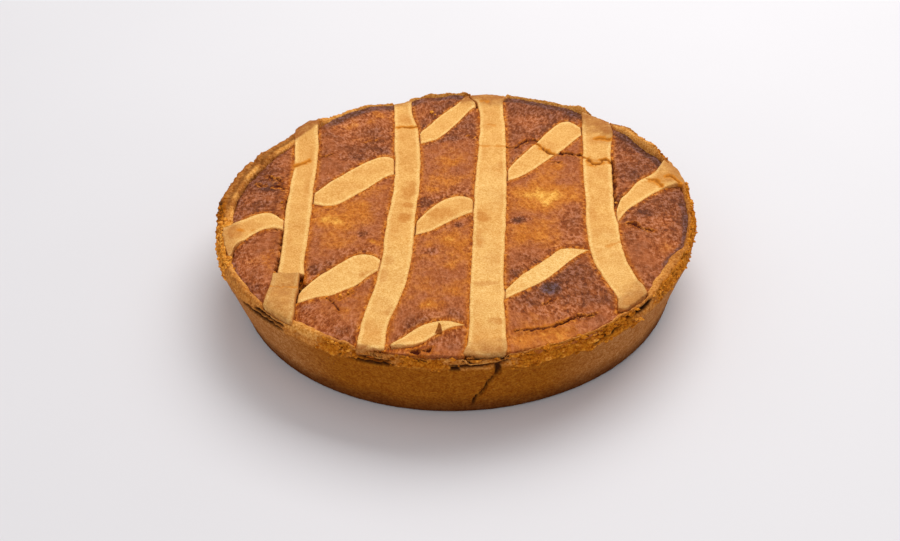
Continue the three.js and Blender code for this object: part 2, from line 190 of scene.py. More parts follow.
# Broken stretches of the rim: from angle, to angle, depth, lowest and highest share of the rim,
# then the odds of a lump lying in it, and the size, length in sizes and tone of its lumps
RIM_BREAKS = [
    (183, 205, 1.8, -0.02, 0.9, 230, 1.6, 1.2, 1.15),
    (238, 248, 2.2, 0.02, 0.5, 64, 1.6, 1.4, 0.55), (246, 257, 1.6, -0.04, 0.32, 8, 1.5, 2.2, 0.05),
    (256, 270, 2, 0.02, 0.5, 64, 1.5, 1.3, 0.45), (269, 281, 1, 0.1, 0.46, 8, 1.3, 2.4, 0.3),
    (281, 313, 2.4, -0.16, 0.44, 180, 1.9, 2, 0.55), (318, 340, 1.2, 0.02, 0.42, 90, 1.3, 1.3, 0.6),
    (340, 368, 1.8, -0.02, 0.62, 220, 1.5, 1.2, 0.6), (376, 385, 1.4, 0.05, 0.6, 50, 1.4, 1.2, 0.5),
    # The far rim's two stretches take a light tone: painted light on a face the lamps leave in
    # shade
    (385, 420, 0.5, 0.08, 0.56, 50, 1, 1.2, 0.95), (60, 130, 0.5, 0.1, 0.6, 150, 0.9, 1.2, 1),
    (130, 176, 0.6, 0, 0.4, 56, 1.1, 1.2, 0.45), (173, 187, 1.3, -0.02, 0.5, 48, 1.4, 1.3, 0.3),
]
# Slits between layers of the rim, darkened with painted shade: from angle, to angle, share of
# the rim at each end, bow, depth, width
RIM_SLITS = [
    (213, 230, 0.07, 0.12, 0, 2.6, 0.055), (219, 230, 0.25, 0.26, 0.01, 2.6, 0.05),
    (246, 257, 0.06, 0.08, -0.08, 2.4, 0.05), (248, 256, 0.15, 0.15, 0, 2.6, 0.05),
    (247, 257, 0.24, 0.23, 0.05, 2.8, 0.055), (261, 264, 0.42, 0.42, 0, 3.2, 0.08),
    (267, 281, 0.2, 0.24, -0.06, 2.8, 0.055), (268, 282, 0.42, 0.32, 0.04, 2.8, 0.055),
    (311, 318, 0.26, 0.38, 0, 3.2, 0.07), (305, 312, 0.1, 0.28, 0, 3, 0.06),
    (300, 306.5, -0.06, 0.12, 0, 2.6, 0.055), (268, 270.4, 0.05, 0.05, 0, 2.2, 0.06),
]
# The crack down the near side: angle and height
SIDE_CRACK = [
    (-80.6, 38), (-82, 33), (-81.8, 28), (-83.8, 22), (-84.7, 16), (-86.5, 10), (-87.3, 3),
]
# Section of the rim from the outside over the top to the inside, as steps from its radius
# and height
RIM_SECTION = [
    (-0.8, -9), (-0.4, -7.5), (0, -6), (0, -4.2), (-0.3, -2.4), (-1.2, -0.9), (-2.6, -0.1),
    (-4.2, 0), (-5.4, -0.35), (-6.2, -1.2), (-6.6, -2.4), (-6.9, -4.5),
]
# Cracks in the strips and the filling: width, depth and the points they run through
CRACKS = {
    "long_strip_1": [
        (1.2, 0.6, [(-81.5, 41.6), (-79.2, 43.5), (-76.5, 45), (-73.8, 47.8)]),
        (0.45, 0.3, [(-82.4, -62.4), (-76, -63), (-70, -63.6)]),
    ],
    "long_strip_2": [(1.3, 0.7, [(-29, 80.6), (-26, 81.4), (-23.4, 80.6), (-18, 81.4)])],
    "long_strip_3": [
        (0.7, 0.3, [(12.6, 58.2), (19, 57.4), (28, 56.4)]),
        (0.5, 0.25, [(18.7, 80.6), (21, 80.2), (22.9, 78.7)]),
        (0.9, 0.4, [(15.8, 103.5), (17.6, 104.2), (19.6, 103.5)]),
    ],
    "long_strip_4": [
        (1.3, 1, [
            (65.6, 43.2), (68.4, 42), (69.5, 38.5), (71.2, 35.7), (73.6, 36.7), (75.4, 39.7),
            (77.1, 40.9), (80.2, 37.8),
        ]),
        (1.1, 0.6, [(74.5, 60.5), (77, 60.8), (81.4, 58.4)]),
        (0.7, 0.25, [(69, -36.4), (76.5, -32.8)]),
    ],
    "cross_strip_1": [
        (0.55, 0.4, [(-102.4, -15.4), (-101.4, -15), (-100.2, -15.6)]),
        (0.35, 0.3, [(-95.8, -15), (-94.8, -14.6)]),
    ],
    "cross_strip_2": [(1.2, 0.9, [(44, 58), (45.2, 55), (47.1, 52), (49.1, 48.3), (51.4, 47.6)])],
    "cross_strip_3": [
        (1.1, 0.6, [(95.3, 20.6), (99.5, 19.5), (101.6, 14.5)]),
        (1.1, 0.7, [(105.4, 20.8), (107.6, 21), (110.4, 16)]),
    ],
    "filling": [
        (1.2, 1.1, [
            (27.6, 55.6), (32.6, 54.8), (36.1, 59.3), (38.4, 61.5), (41.3, 62), (44.2, 61.3),
            (46.4, 59.5),
        ]),
        (1.5, 1.6, [(51.4, 48.4), (55.8, 48), (58.7, 47.9), (61.4, 46), (66, 45.4)]),
        (0.6, 0.6, [(49.4, 39.6), (52, 38.4), (55, 39)]),
        (1.2, 1.1, [(24, -96.6), (30, -96.8), (36, -95.4), (40, -94), (43.1, -92.2)]),
        (1.5, 1.5, [
            (42, -92.6), (45.3, -91), (48.2, -88.6), (50.5, -87.4), (54.3, -87.3), (58, -86.4),
        ]),
        (0.8, 0.7, [(-57.4, -69.6), (-54, -73), (-52.4, -76.4), (-50.6, -80)]),
        (0.7, 0.5, [(-51.4, -71.6), (-48.4, -69), (-45.6, -65)]),
        (1.3, 1.1, [(81, -18.4), (84, -19), (86.7, -21.8), (89.7, -22.4), (91.6, -24)]),
        (0.6, 0.6, [(37.6, -78.6), (40, -76.4), (42.6, -75.2)]),
        (0.6, 0.6, [(-69, 51.4), (-65, 51), (-62, 52.6)]),
        (0.6, 0.5, [(-47, 65), (-44, 66.4), (-40, 66)]),
        (0.6, 0.6, [(8, 68), (11, 66.6), (13.6, 67.4)]),
        (1.1, 0.9, [(-93.6, 34), (-91, 31), (-88.6, 30.4), (-86.8, 27)]),
        (1, 0.8, [(-90, 22), (-86.6, 23.6), (-84.2, 20.6)]),
        (0.9, 0.7, [(-98, 27), (-96, 24.4), (-94.6, 24.8)]),
        (2.4, 2, [(-18.2, -109.2), (-15.5, -108.9), (-12.6, -108.3)]),
    ],
}
# Browner patches on the strips: x, y, reach along x, reach along y, strength
STAINS = {
    "long_strip_1": [(-72.5, 20, 3, 12, 0.4), (-79, -24, 3, 9, 0.35), (-75, 62, 6, 8, 0.3)],
    "long_strip_2": [
        (-22, 15, 4.6, 10, 0.7), (-22.7, 2.6, 4, 3.4, 0.9), (-24.6, -8, 4.4, 5, 0.8),
        (-32.4, -54, 3.6, 7, 0.85), (-30.8, -44, 3, 6, 0.6), (-26, 70, 6, 7, 0.4),
        (-27.6, -80, 4, 4.4, 0.85), (-33, -76, 5, 8, 0.35), (-25, 91, 7, 6, 0.6),
    ],
    "long_strip_3": [
        (12.6, -9, 4.4, 7, 0.8), (10.4, -28, 4, 9, 0.75), (17, -44, 6, 8, 0.45),
        (13.5, -62.6, 8, 1.9, 1), (17.6, -89.6, 5, 2.6, 0.85), (24, 37, 3, 6, 0.6),
        (23.8, 7, 2.4, 3, 0.8), (18, 80, 6, 6, 0.4),
    ],
    "long_strip_4": [
        (73, 38, 7, 4, 0.6), (65, -10, 3, 9, 0.45), (74, -46, 4, 8, 0.4), (76, 60, 6, 6, 0.5),
    ],
    "cross_strip_1": [
        (-97, -11, 8, 5, 0.4), (-104, -16, 6, 8, 0.6), (-52, 22, 8, 5, 0.25),
        (-107.6, -14, 1.2, 1.4, 1), (-104.4, -21.6, 1.4, 1.2, 1), (-99.4, -25, 1.1, 1.4, 1),
        (-101.4, -15.4, 2, 1.1, 1),
    ],
    "cross_strip_2": [(-5, -6, 10, 7, 0.65), (-38, -54, 6, 4, 0.7), (48, 54, 6, 8, 0.35)],
    "cross_strip_3": [(103, 20, 8, 8, 0.55)],
}
# Paler patches on the strips: x, y, reach along x, reach along y, strength
PALES = {
    "cross_strip_2": [(-54, -56, 18, 18, 0.4)],
    "cross_strip_3": [(42, -52, 26, 26, 1)],
    "long_strip_2": [(-28, -62, 12, 34, 0.45)],
    "long_strip_3": [(14, -58, 14, 44, 0.45), (18, 16, 12, 20, 0.45)],
    "long_strip_4": [(74, -50, 14, 24, 0.45)],
}
# The far and the near end of each strip: radius it reaches, browning there, and the radii
# where that starts and is full
STRIP_ENDS = {
    "long_strip_1": [(115.2, 1, 105.4, 107.6), (113.2, 0.2, 104, 112)],
    "long_strip_2": [(115.2, 0.6, 106, 113), (113.8, 1, 110.8, 112.6)],
    "long_strip_3": [(115.2, 0.85, 98, 109), (112.4, 0.65, 99, 112)],
    "long_strip_4": [(115.2, 0.8, 93, 109), (110.6, 0.6, 97, 108)],
    "cross_strip_1": [(115.2, 0.9, 101, 106.5), (110.6, 0.5, 100, 109)],
    "cross_strip_2": [(115.2, 0, 104, 112), (108.2, 0, 104, 112)],
    "cross_strip_3": [(115.2, 0.6, 102, 112), (108.2, 0.15, 103, 109)],
}
# Burnt edge of the filling along the rim: from angle, to angle, width, strength
BURNT_EDGES = [
    (44, 100, 7.2, 0.82), (94, 134, 8.4, 0.82), (2, 46, 6, 0.78), (-34, 6, 3.6, 0.78),
    (140, 186, 2.4, 0.26), (196, 214, 2, 0.45),
]
# Burnt spots of the filling's skin: x, y, reach along x, reach along y, strength
SCORCHES = [
    (41, -67.7, 5.6, 4.8, 0.8), (30.5, -13.5, 4.6, 3.4, 1.1), (1.9, -16, 3.2, 2.8, 0.8),
    (-11.5, -37.6, 4.2, 3, 0.8), (-43.8, -21.5, 3.6, 3.4, 0.8), (-14, 5, 5.6, 5.4, 0.8),
    (-64, -49, 6, 4, 0.8), (88.5, 23.5, 6, 6, 0.8), (88, -9.5, 6, 4, 0.7), (90, -23.5, 4, 2.4, 0.7),
    (-4, 65.5, 8, 3, 0.6), (-93, 26, 8, 7, 0.8), (-50, 49, 9, 4, 0.6), (-44, -92, 6, 5, 0.3),
    (-92, -60, 6, 5, 0.6),
]
# Spots of the filling's skin burnt through: x, y, reach along x, reach along y, strength
BURNT_SPOTS = [(40.8, -67.4, 5.4, 5.6, 1), (30.4, -13.4, 4, 3, 0.35), (1.9, -16, 3, 2.6, 0.25)]
# Broader darker parts of the filling: x, y, reach along x, reach along y, strength
SHADES = [
    (94, -8, 20, 30, 0.5), (92, 40, 18, 24, 0.5), (46, -66, 28, 22, 0.8), (-93, -32, 14, 22, 0.15),
    (-95, 26, 16, 28, 0.5), (-48, 72, 24, 26, 0.35), (46, 84, 22, 24, 0.4), (2, 78, 18, 22, 0.45),
    (-8, 92, 12, 10, 0.4), (-6, -100, 14, 8, 0.3), (-60, -84, 20, 10, 0.1), (56, -14, 10, 14, 0.3),
]
# Places where the filling shows through bright and orange: x, y, reach, strength
GLOWS = [
    (41, 11, 4.4, 1), (43, 8, 14, 0.95), (51, 35, 5, 0.7), (-61, -9, 4, 0.85), (-56, -6, 14, 0.75),
    (-2.8, -28, 5, 0.75), (-2, -30, 14, 0.55), (-11, 16, 5, 0.7), (-5, 24, 11, 0.5),
    (-11.3, -76, 5, 0.7), (-6, -66, 14, 0.35), (0.5, 44, 8, 0.5), (-57, 84, 8, 0.65),
    (36, -24, 14, 0.55), (-62, -86, 10, 0.45), (-52, -28, 12, 0.45), (100, -36, 6, 0.4),
    (-38.5, -27.5, 3, 0.9), (97, -18, 6, 0.5), (-40, 92, 8, 0.6), (36, -103, 16, 0.65),
    (-48, 18, 12, 0.45), (48, -78, 8, 0.3), (46, 22, 12, 0.4), (-32, 6, 8, 0.3), (-92, -40, 8, 0.4),
    (-100, 12, 6, 0.3), (0, -46, 10, 0.4), (56, -30, 8, 0.3), (-40, -78, 8, 0.35),
]
# Torn orange spots of the filling: x, y, reach along x, reach along y, strength
TEARS = [
    (-48.6, -69, 7.5, 4.6, 1), (46, -90.6, 7, 2.4, 0.9), (-44, 68, 8, 3, 0.4),
    (-84, 12, 2.4, 14, 0.5), (-88, 29, 7, 6, 0.45), (-85, -36, 3.2, 14, 0.8),
]
# Gaps between the filling and a strip's edge: x, y, reach along y, gap
CREVICES = [
    (79.5, 18, 26, 1.9), (-82.5, -32, 22, 2.2), (-69, -64, 7, 1.8), (13.4, 104, 7, 1.4),
    (-83, 6, 12, 1.2),
]
# Loose crumbs: x, y, size
CRUMBS = [
    (-11, 94, 2), (-9.2, 92.6, 1.2), (78.6, -3, 1.6), (77.8, 0.2, 1.2), (78.8, -6, 1.3),
    (78.4, -10, 1), (-51, -69.4, 1.4), (-47.6, -67, 1.2), (44, -91, 1.2), (48, -89, 1),
    (-84, 8, 1.2), (-83.4, 3, 1), (-70, -54, 1.4), (-69.4, -58, 1.2), (-81.6, -50.4, 1.2),
    (-72.4, -52.4, 1.3),
]


def between(first, second, share):
    """The value a share of the way from the first to the second."""
    return first + (second - first) * share


def clamp(value, most=1.0):
    """The value kept between nought and the most."""
    return np.clip(value, 0.0, most)


def ease(value, low, high):
    """A soft step from nought at low to one at high."""
    share = clamp((value - low) / (high - low))
    return share * share * (3 - 2 * share)


def bell(value, middle, reach):
    """One at the middle, falling softly on both sides of it."""
    return np.exp(-(((value - middle) / reach) ** 2))


def bumps(points, wide, seed, octaves=2):
    """Smooth random heights of about minus one to one, as wide as given, a pattern to each seed."""
    shifted = points / wide + (seed * 17.31, seed * 9.77, seed * 5.13)
    return np.array([noise.fractal(place, 1.0, 2.0, octaves) for place in shifted.tolist()])


def pits(points, wide, seed):
    """Distance from the middle of random cells of the given width, as a share of it."""
    shifted = points / wide + (seed * 11.17, seed * 7.39, seed * 3.71)
    return np.array([noise.voronoi(place)[0][0] for place in shifted.tolist()])


def level(points):
    """The points set down to nought height."""
    return np.column_stack([points[:, :2], np.zeros(len(points))])


def running(points):
    """Length of the way to each point of a line."""
    steps = np.linalg.norm(np.diff(points[:, :2], axis=0), axis=1)
    return np.concatenate([[0.0], np.cumsum(steps)])


def smooth_line(points, spacing):
    """Evenly spaced points of a smooth line through the given ones."""
    points = np.array(points, dtype=float)
    chord = running(points)
    slopes = np.gradient(points, chord, axis=0)
    where = np.linspace(0.0, chord[-1], max(2, int(chord[-1] / spacing)))
    cell = np.clip(np.searchsorted(chord, where, side="right") - 1, 0, len(chord) - 2)
    gap = (chord[cell + 1] - chord[cell])[:, None]
    t = (where - chord[cell])[:, None] / gap
    start = points[cell] * (1 + 2 * t) * (1 - t) ** 2 + slopes[cell] * gap * t * (1 - t) ** 2
    stop = points[cell + 1] * (3 - 2 * t) * t**2 + slopes[cell + 1] * gap * (t - 1) * t**2
    return start + stop


def size(name):
    """A size of the tart in millimetres."""
    return getattr(bpy.context.scene.pastiera_sizes, name) / MM


def colour(name):
    """A colour of the tart with full alpha."""
    return (*getattr(bpy.context.scene.pastiera_colours, name), 1.0)


class Route:
    """The way a long strip takes over the tart, with its half width."""

    slant = 1.0

    def __init__(self, points):
        line = smooth_line(points, 0.5)
        self.centres, self.half = line[:, :2], line[:, 2] / 2
        self.run = running(self.centres)
        self.total = self.run[-1]
        ahead = np.gradient(self.centres, self.run, axis=0)
        self.ahead = ahead / np.linalg.norm(ahead, axis=1)[:, None]
        self.tree = kdtree.KDTree(len(self.centres))
        for index, place in enumerate(level(self.centres).tolist()):
            self.tree.insert(place, index)
        self.tree.balance()

    def locate(self, points):
        """For each point: its side, right being positive, and how far it is inside the edge."""
        index = np.array([self.tree.find(place)[1] for place in level(points).tolist()])
        offset, ahead = points[:, :2] - self.centres[index], self.ahead[index]
        side = offset[:, 0] * ahead[:, 1] - offset[:, 1] * ahead[:, 0]
        along = (offset * ahead).sum(axis=1)
        last = len(self.centres) - 1
        past = np.where(index == last, along, np.where(index == 0, -along, 0))
        inside = self.half[index] - np.abs(side)
        return side, np.where(past > 0.3, np.minimum(inside, -past), inside)

    def lay(self, run):
        """Middle of the strip after a run, the way to its right and its half width."""
        kept = (*self.centres.T, *self.ahead.T, self.half)
        x, y, ahead_x, ahead_y, half = (np.interp(run, self.run, values) for values in kept)
        return np.column_stack([x, y]), np.column_stack([ahead_y, -ahead_x]), half


class Band:
    """The way a cross strip takes over the tart, between its upper and its lower edge."""

    slant = 0.72

    def __init__(self, upper, lower):
        self.upper, self.lower = smooth_line(upper, 0.4), smooth_line(lower, 0.4)
        self.start = upper[0][0]
        self.total = upper[-1][0] - self.start

    def span(self, x):
        """Middle and half width of the strip in the plan at each x."""
        low, high = np.interp(x, *self.lower.T), np.interp(x, *self.upper.T)
        return (low + high) / 2, (high - low) / 2

    def locate(self, points):
        """For each point: its side, lower being positive, and how far it is inside the edge."""
        x, y = points[:, 0], points[:, 1]
        middle, half = self.span(x)
        side = middle - y
        inside = self.slant * (half - np.abs(side))
        past = np.maximum(self.start - x, x - self.start - self.total)
        return side, np.where(past > 0, np.minimum(inside, -past), inside)

    def lay(self, run):
        """Middle of the strip after a run, the way to its lower edge and its half width."""
        x = self.start + run
        middle, half = self.span(x)
        return np.column_stack([x, middle]), np.tile((0, -1), (len(x), 1)), half


LONG_ROUTES = {name: Route(points) for name, points in LONG_STRIPS.items()}
CROSS_ROUTES = {name: Band(upper, CROSS_LOWER[name]) for name, upper in CROSS_UPPER.items()}
ROUTES = {**LONG_ROUTES, **CROSS_ROUTES}


def degrees_off(angle, at):
    """How many degrees each angle is away from the given one."""
    return np.abs((angle - at + 180) % 360 - 180)


def near_angle(angle, at, reach):
    """One at the given angle, falling softly to nought at its reach."""
    return 0.5 + 0.5 * np.cos(np.pi * clamp(degrees_off(angle, at) / reach))


def stretch(angle, start, stop, soft):
    """One between two angles, with soft ends."""
    half = (stop - start) / 2
    return 1 - ease(degrees_off(angle, (start + stop) / 2), half - soft, half)


def polar(points):
    """Radius and angle of each point."""
    x, y = points[:, 0], points[:, 1]
    return np.hypot(x, y), np.degrees(np.arctan2(y, x)) % 360


def rim_crest(angle, swells=RIM_SWELLS + RIM_LOBES):
    """Height of the rim's top at an angle."""
    crest = np.full_like(angle, size("rim_height"))
    for at, reach, rise in swells:
        crest += rise * near_angle(angle, at, reach)
    return crest


def rim_inner(angle):
    """Radius of the rim's inner edge at an angle."""
    return np.interp(angle, *np.array(RIM_INNER, dtype=float).T)


def overlap(points, inner):
    """One where the filling's skin reaches over the thin rim on the near side."""
    return ease(inner, 110.8, 112.6) * ease(-points[:, 1], 60, 80)


def filling_level(points):
    """Height of the filling without its relief."""
    radius, angle = polar(points)
    dome = size("filling_dome") * (1 - (radius / size("rim_radius")) ** 2)
    swell = (rim_crest(angle, RIM_SWELLS) - size("rim_height")) * ease(radius, 70, 108)
    swell += 1.4 * stretch(angle, 28, 134, 14) * ease(radius, 84, 108)
    return size("rim_height") - size("filling_below_rim") + dome + swell


def free_top(points):
    """Height of a strip's top that no other strip carries."""
    radius, angle = polar(points)
    on_filling = filling_level(points) + size("strip_proud")
    over_rim = rim_crest(angle) + size("strip_over_rim")
    return between(on_filling, over_rim, ease(radius, 99, 108)) - 1.4 * ease(radius, 110, 115)


def long_top(points):
    """Height of a long strip's top, which rises over each cross strip."""
    hump = np.zeros(len(points))
    for x, y in CROSSINGS:
        hump = np.maximum(hump, bell(np.hypot(points[:, 0] - x, points[:, 1] - y), 0, 10))
    return free_top(points) + size("crossing_hump") * hump


def cross_top(points):
    """Height of a cross strip's top, which dips under the long strips."""
    inside = np.max([route.locate(points)[1] for route in LONG_ROUTES.values()], axis=0)
    under = long_top(points) - size("strip_thickness") - 0.6
    return between(under, free_top(points), ease(-inside, -0.6, 0.9))


def crack_marks(name, points):
    """Depth of a piece's cracks at each point, how much painted shade darkens them and how torn
    their edges are.
    """
    depth, dark, torn = np.zeros((3, len(points)))
    flat, plan = points[:, :2], level(points)
    ragged = flat + 0.8 * np.column_stack([bumps(plan, 2.2, 61), bumps(plan, 2.2, 62)])
    swell = np.clip(0.8 + 0.8 * bumps(plan, 3.5, 63), 0.25, 1.6)
    for width, deep, line in CRACKS[name]:
        line = np.array(line, dtype=float)
        close = np.all((flat > line.min(axis=0) - 5) & (flat < line.max(axis=0) + 5), axis=1)
        spot, wide = ragged[close], width * swell[close]
        away = np.full(len(spot), BEYOND)
        for start, stop in zip(line[:-1], line[1:]):
            leg = stop - start
            share = clamp(((spot - start) @ leg) / (leg @ leg))
            away = np.minimum(away, np.hypot(*(spot - start - share[:, None] * leg).T))
        share = 1 - ease(away, 0.25 * wide, wide)
        edge = (1 - ease(away, wide, 2.4 * wide)) * min(1, 2 * deep)
        depth[close] = np.maximum(depth[close], deep * share)
        # Painted shade in the crack, darker where it is deeper
        dark[close] = np.maximum(dark[close], share * ease(deep, 0.3, 0.9))
        torn[close] = np.maximum(torn[close], edge)
    return depth, dark, torn


def patches(points, spots, warp, seed):
    """Soft random-edged patches at the given spots."""
    edge = warp * bumps(level(points), 5, seed, 3)
    total = np.zeros(len(points))
    for x, y, reach_x, reach_y, strength in spots:
        away = np.hypot((points[:, 0] - x) / reach_x, (points[:, 1] - y) / reach_y)
        total = np.maximum(total, strength * (1 - ease(away + edge, 0.4, 1.25)))
    return total


def corners(bm):
    """Place of each vertex as an array."""
    return np.array([vert.co[:] for vert in bm.verts])


def raise_grown(bm, grown, rise):
    """Moves the vertices that an extrusion has grown."""
    verts = [item for item in grown["geom"] if isinstance(item, bmesh.types.BMVert)]
    bmesh.ops.translate(bm, verts=verts, vec=(0, 0, rise))


def link_mesh(bm, name, material):
    """An object of the mesh, linked to the scene."""
    mesh = bpy.data.meshes.new(name)
    bm.to_mesh(mesh)
    bm.free()
    mesh.materials.append(material)
    piece = bpy.data.objects.new(name, mesh)
    bpy.context.scene.collection.objects.link(piece)
    return piece


def make_piece(bm, name, points, marks, material, nodes):
    """Puts the vertices in place, keeps the material's marks and rides the piece on the tart."""
    for vert, place in zip(bm.verts, (points * MM).tolist()):
        vert.co = place
    bmesh.ops.recalc_face_normals(bm, faces=bm.faces[:])
    piece = link_mesh(bm, name, material)
    for mark, values in marks.items():
        kept = clamp(values, MARK_MOST.get(mark, 1.0)).astype(np.float32)
        piece.data.attributes.new(mark, "FLOAT", "POINT").data.foreach_set("value", kept)
    piece.data.shade_smooth()
    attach(piece, "root")
    if nodes:
        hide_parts(*nodes)
    return piece


def make_strip(name, route, top, cells, seed, material):
    """One pastry strip: a slab bent along its route, with soft edges and ends over the rim."""
    # A slab of cells, laid along the route with wavy edges
    bm = bmesh.new()
    rows = int(route.total / (STRIP_CELL * route.slant))
    bmesh.ops.create_grid(bm, x_segments=cells, y_segments=rows, size=1.0)
    raise_grown(bm, bmesh.ops.extrude_face_region(bm, geom=bm.faces[:]), 1)
    shares = corners(bm)
    across = np.sin(shares[:, 0] * CROWDING * np.pi / 2) / np.sin(CROWDING * np.pi / 2)
    run = (shares[:, 1] + 1) / 2 * route.total
    upper = shares[:, 2] > 0.5
    centre, right, half = route.lay(run)
    both = np.column_stack([run, np.sign(across) * 30, np.zeros(len(run))])
    wave = 0.34 * bumps(both, 9, seed, 3) + 0.16 * bumps(both, 2, seed + 8)
    half = half + clamp(half / 6) * wave
    points = level(centre + (across * half)[:, None] * right)
    plan = points.copy()

    # Rounded edges, fine relief, cracks, and the lap of the first long strip
    rounding = size("strip_edge_round")
    ends = np.minimum(run, route.total - run) * 0.8
    edge = np.minimum(route.slant * half * (1 - np.abs(across)), ends)
    drop = rounding - np.sqrt(rounding**2 - clamp(rounding - edge, rounding) ** 2)
    relief = 0.1 * bumps(plan, 8, seed + 1) + 0.06 * bumps(plan, 2.4, seed + 2)
    relief = relief + 0.04 * bumps(plan, 0.9, seed + 3)
    depth, dark, torn = crack_marks(name, points)
    height, lap = top(points), np.zeros(len(run))
    if name == "long_strip_1":
        lap = ease(-points[:, 1] + 2 * bumps(plan, 3, seed + 4, 3), *LAP_EDGE)
        points[:, 0] -= 2.4 * lap * (1 - ease(-points[:, 1], 57, 66))
    crown = height - drop + relief - depth + size("lap_rise") * lap
    points[:, 2] = np.where(upper, crown, height - size("strip_thickness"))

    # Ragged ends, drawn down over the rim
    radius, _ = polar(points)
    far, near = np.array(STRIP_ENDS[name])
    reach, strength, start, full = np.where(points[:, 1:2] > 0, far, near).T
    limit = reach - np.where(upper, 0, 1.5) + 0.5 * bumps(plan, 2.6, seed + 10, 3)
    over = np.maximum(radius - limit, 0)
    drawn = (limit + 0.1 * np.minimum(over, 3)) / np.maximum(radius, 1)
    points[:, :2] *= np.where(over > 0, drawn, 1)[:, None]
    points[:, 2] -= 0.9 * np.minimum(over, 2.5)

    # Browned ends, stains, paler parts, a painted highlight along the edges and painted shade in
    # the cracks
    uneven = (0.3 + 0.25 * (full - start)) * bumps(plan, 4, seed + 5, 3)
    baked_lap = lap * (0.5 + 0.15 * bumps(plan, 3, seed + 6, 3))
    ground = 0.2 if name in LONG_STRIPS else 0.08
    ground = ground + 0.4 * bumps(plan, 10, seed + 9, 3)
    pale = patches(points, PALES.get(name, []), 0.5, seed + 11)
    marks = {
        "browning": np.maximum(strength * ease(radius + uneven, start, full), baked_lap),
        "stain": np.maximum(1.25 * patches(points, STAINS[name], 0.5, seed + 7), ground),
        "edge": 1 - ease(edge, 0, 0.7),
        # Painted highlight in a band along the edges, together with the paler patches
        "pale_and_edge_highlight": np.maximum(bell(edge, 1.1, 0.9), pale),
        "torn": torn,
        # Painted shade in the cracks
        "dark": dark,
    }
    make_piece(bm, name, points, marks, material, [name])


def filling_relief(points):
    """Height of the filling's skin and the marks that colour it."""
    x, y = points[:, 0], points[:, 1]
    radius, angle = polar(points)
    plan = level(points)
    inside_long = [route.locate(points) for route in LONG_ROUTES.values()]
    inside_cross = [route.locate(points) for route in CROSS_ROUTES.values()]
    nearest = np.max([inside for _, inside in inside_long + inside_cross], axis=0)
    away = np.maximum(-nearest, 0)
    gap, bank, burnt, glow = np.zeros((4, len(points)))

    # Relief of the skin, which puffs up beside the strips and parts from some of them
    rough = 0.35 * bumps(plan, 24, 1) + 0.22 * bumps(plan, 7, 2, 3) + 0.13 * bumps(plan, 2.2, 3, 3)
    height = filling_level(points) + rough * (0.35 + 0.65 * ease(away, 0, 4))
    height += size("filling_puff") * bell(away, 8, 5) + 0.2 * np.exp(-away / 0.8)
    for at_x, at_y, reach, width in CREVICES:
        beside = bell(x, at_x, 5) * (1 - ease(np.abs(y - at_y), 0.6 * reach, reach))
        gap = np.maximum(gap, beside * width)
    gap *= clamp(0.6 + 0.9 * bumps(plan, 2.6, 4, 3), 1.4)
    open_gap = np.where(gap > 0.1, 1 - ease(away, gap * 0.5, gap + 0.6), 0) * clamp(gap)
    height -= 2.4 * open_gap

    # Cracks, torn spots and a fold on the near side, then the edge along the rim and the strips
    depth, dark, torn = crack_marks("filling", points)
    tears = patches(points, TEARS, 0.6, 12) * ease(bumps(plan, 1.6, 13), -0.4, 0.3)
    torn = np.maximum(torn, tears)
    height += 0.3 * torn * (1 + bumps(plan, 1.4, 14)) - depth
    ridge = bell(y + 97.8 - 0.2 * (x - 30), 0, 1.8) * ease(x, 18, 26)
    height += 0.9 * ridge * (1 - ease(x, 46, 54))
    inner = rim_inner(angle)
    skin = overlap(points, inner)
    out = radius + 0.7 * bumps(plan, 5, 10, 3) - inner
    height += skin * 1.1 * ease(out, -9, -2) - (1 - skin) * 0.6 * ease(out, -6, -1.5)
    height -= 2.6 * ease(out, 0.2, 1.6)
    height -= 4 * ease(nearest, 0.2, 1.4)

    # Toasted banks beside the strips, burnt edges and bright places
    for side, inside in inside_cross:
        fade = np.exp(-np.maximum(-inside, 0) / np.where(side < 0, 6, 3))
        bank = np.maximum(bank, fade * np.where(side < 0, 0.8, 0.55))
    for _, inside in inside_long:
        bank = np.maximum(bank, 0.5 * np.exp(-np.maximum(-inside, 0) / 2.4))
    bank *= 0.8 + 0.8 * bumps(plan, 6, 7, 3)
    edge = radius - inner + 1.3 * bumps(plan, 4, 9, 3)
    for start, stop, wide, strength in BURNT_EDGES:
        within = ease(edge, -wide, -0.5 * wide)
        burnt = np.maximum(burnt, strength * within * stretch(angle, start, stop, 8))
    rim = ease(radius + 2.4 * bumps(plan, 9, 8), 92, 108)
    toast = np.maximum(patches(points, SCORCHES, 0.5, 5), bank) + patches(points, SHADES, 0.5, 11)
    warped_x, warped_y = x + 2.4 * bumps(plan, 7, 6, 3), y + 2.4 * bumps(plan, 7, 16, 3)
    for at_x, at_y, reach, strength in GLOWS:
        square = (warped_x - at_x) ** 2 / 1.6 + (warped_y - at_y) ** 2
        glow = np.maximum(glow, strength * np.exp(-square / reach**2))
    return height, {
        "toast": toast + 0.3 * rim * (1 - skin),
        "glow": glow,
        "burnt": np.maximum(burnt, patches(points, BURNT_SPOTS, 0.4, 17)),
        "torn": torn,
        "fringe": bell(away, 0, 1.7) * (0.6 + 0.4 * ease(bumps(plan, 1.8, 15), -0.4, 0.3)),
        # Painted shade in the cracks and in the gaps beside the strips
        "dark": np.maximum(ease(dark, 0, 0.6), 0.85 * open_gap),
    }


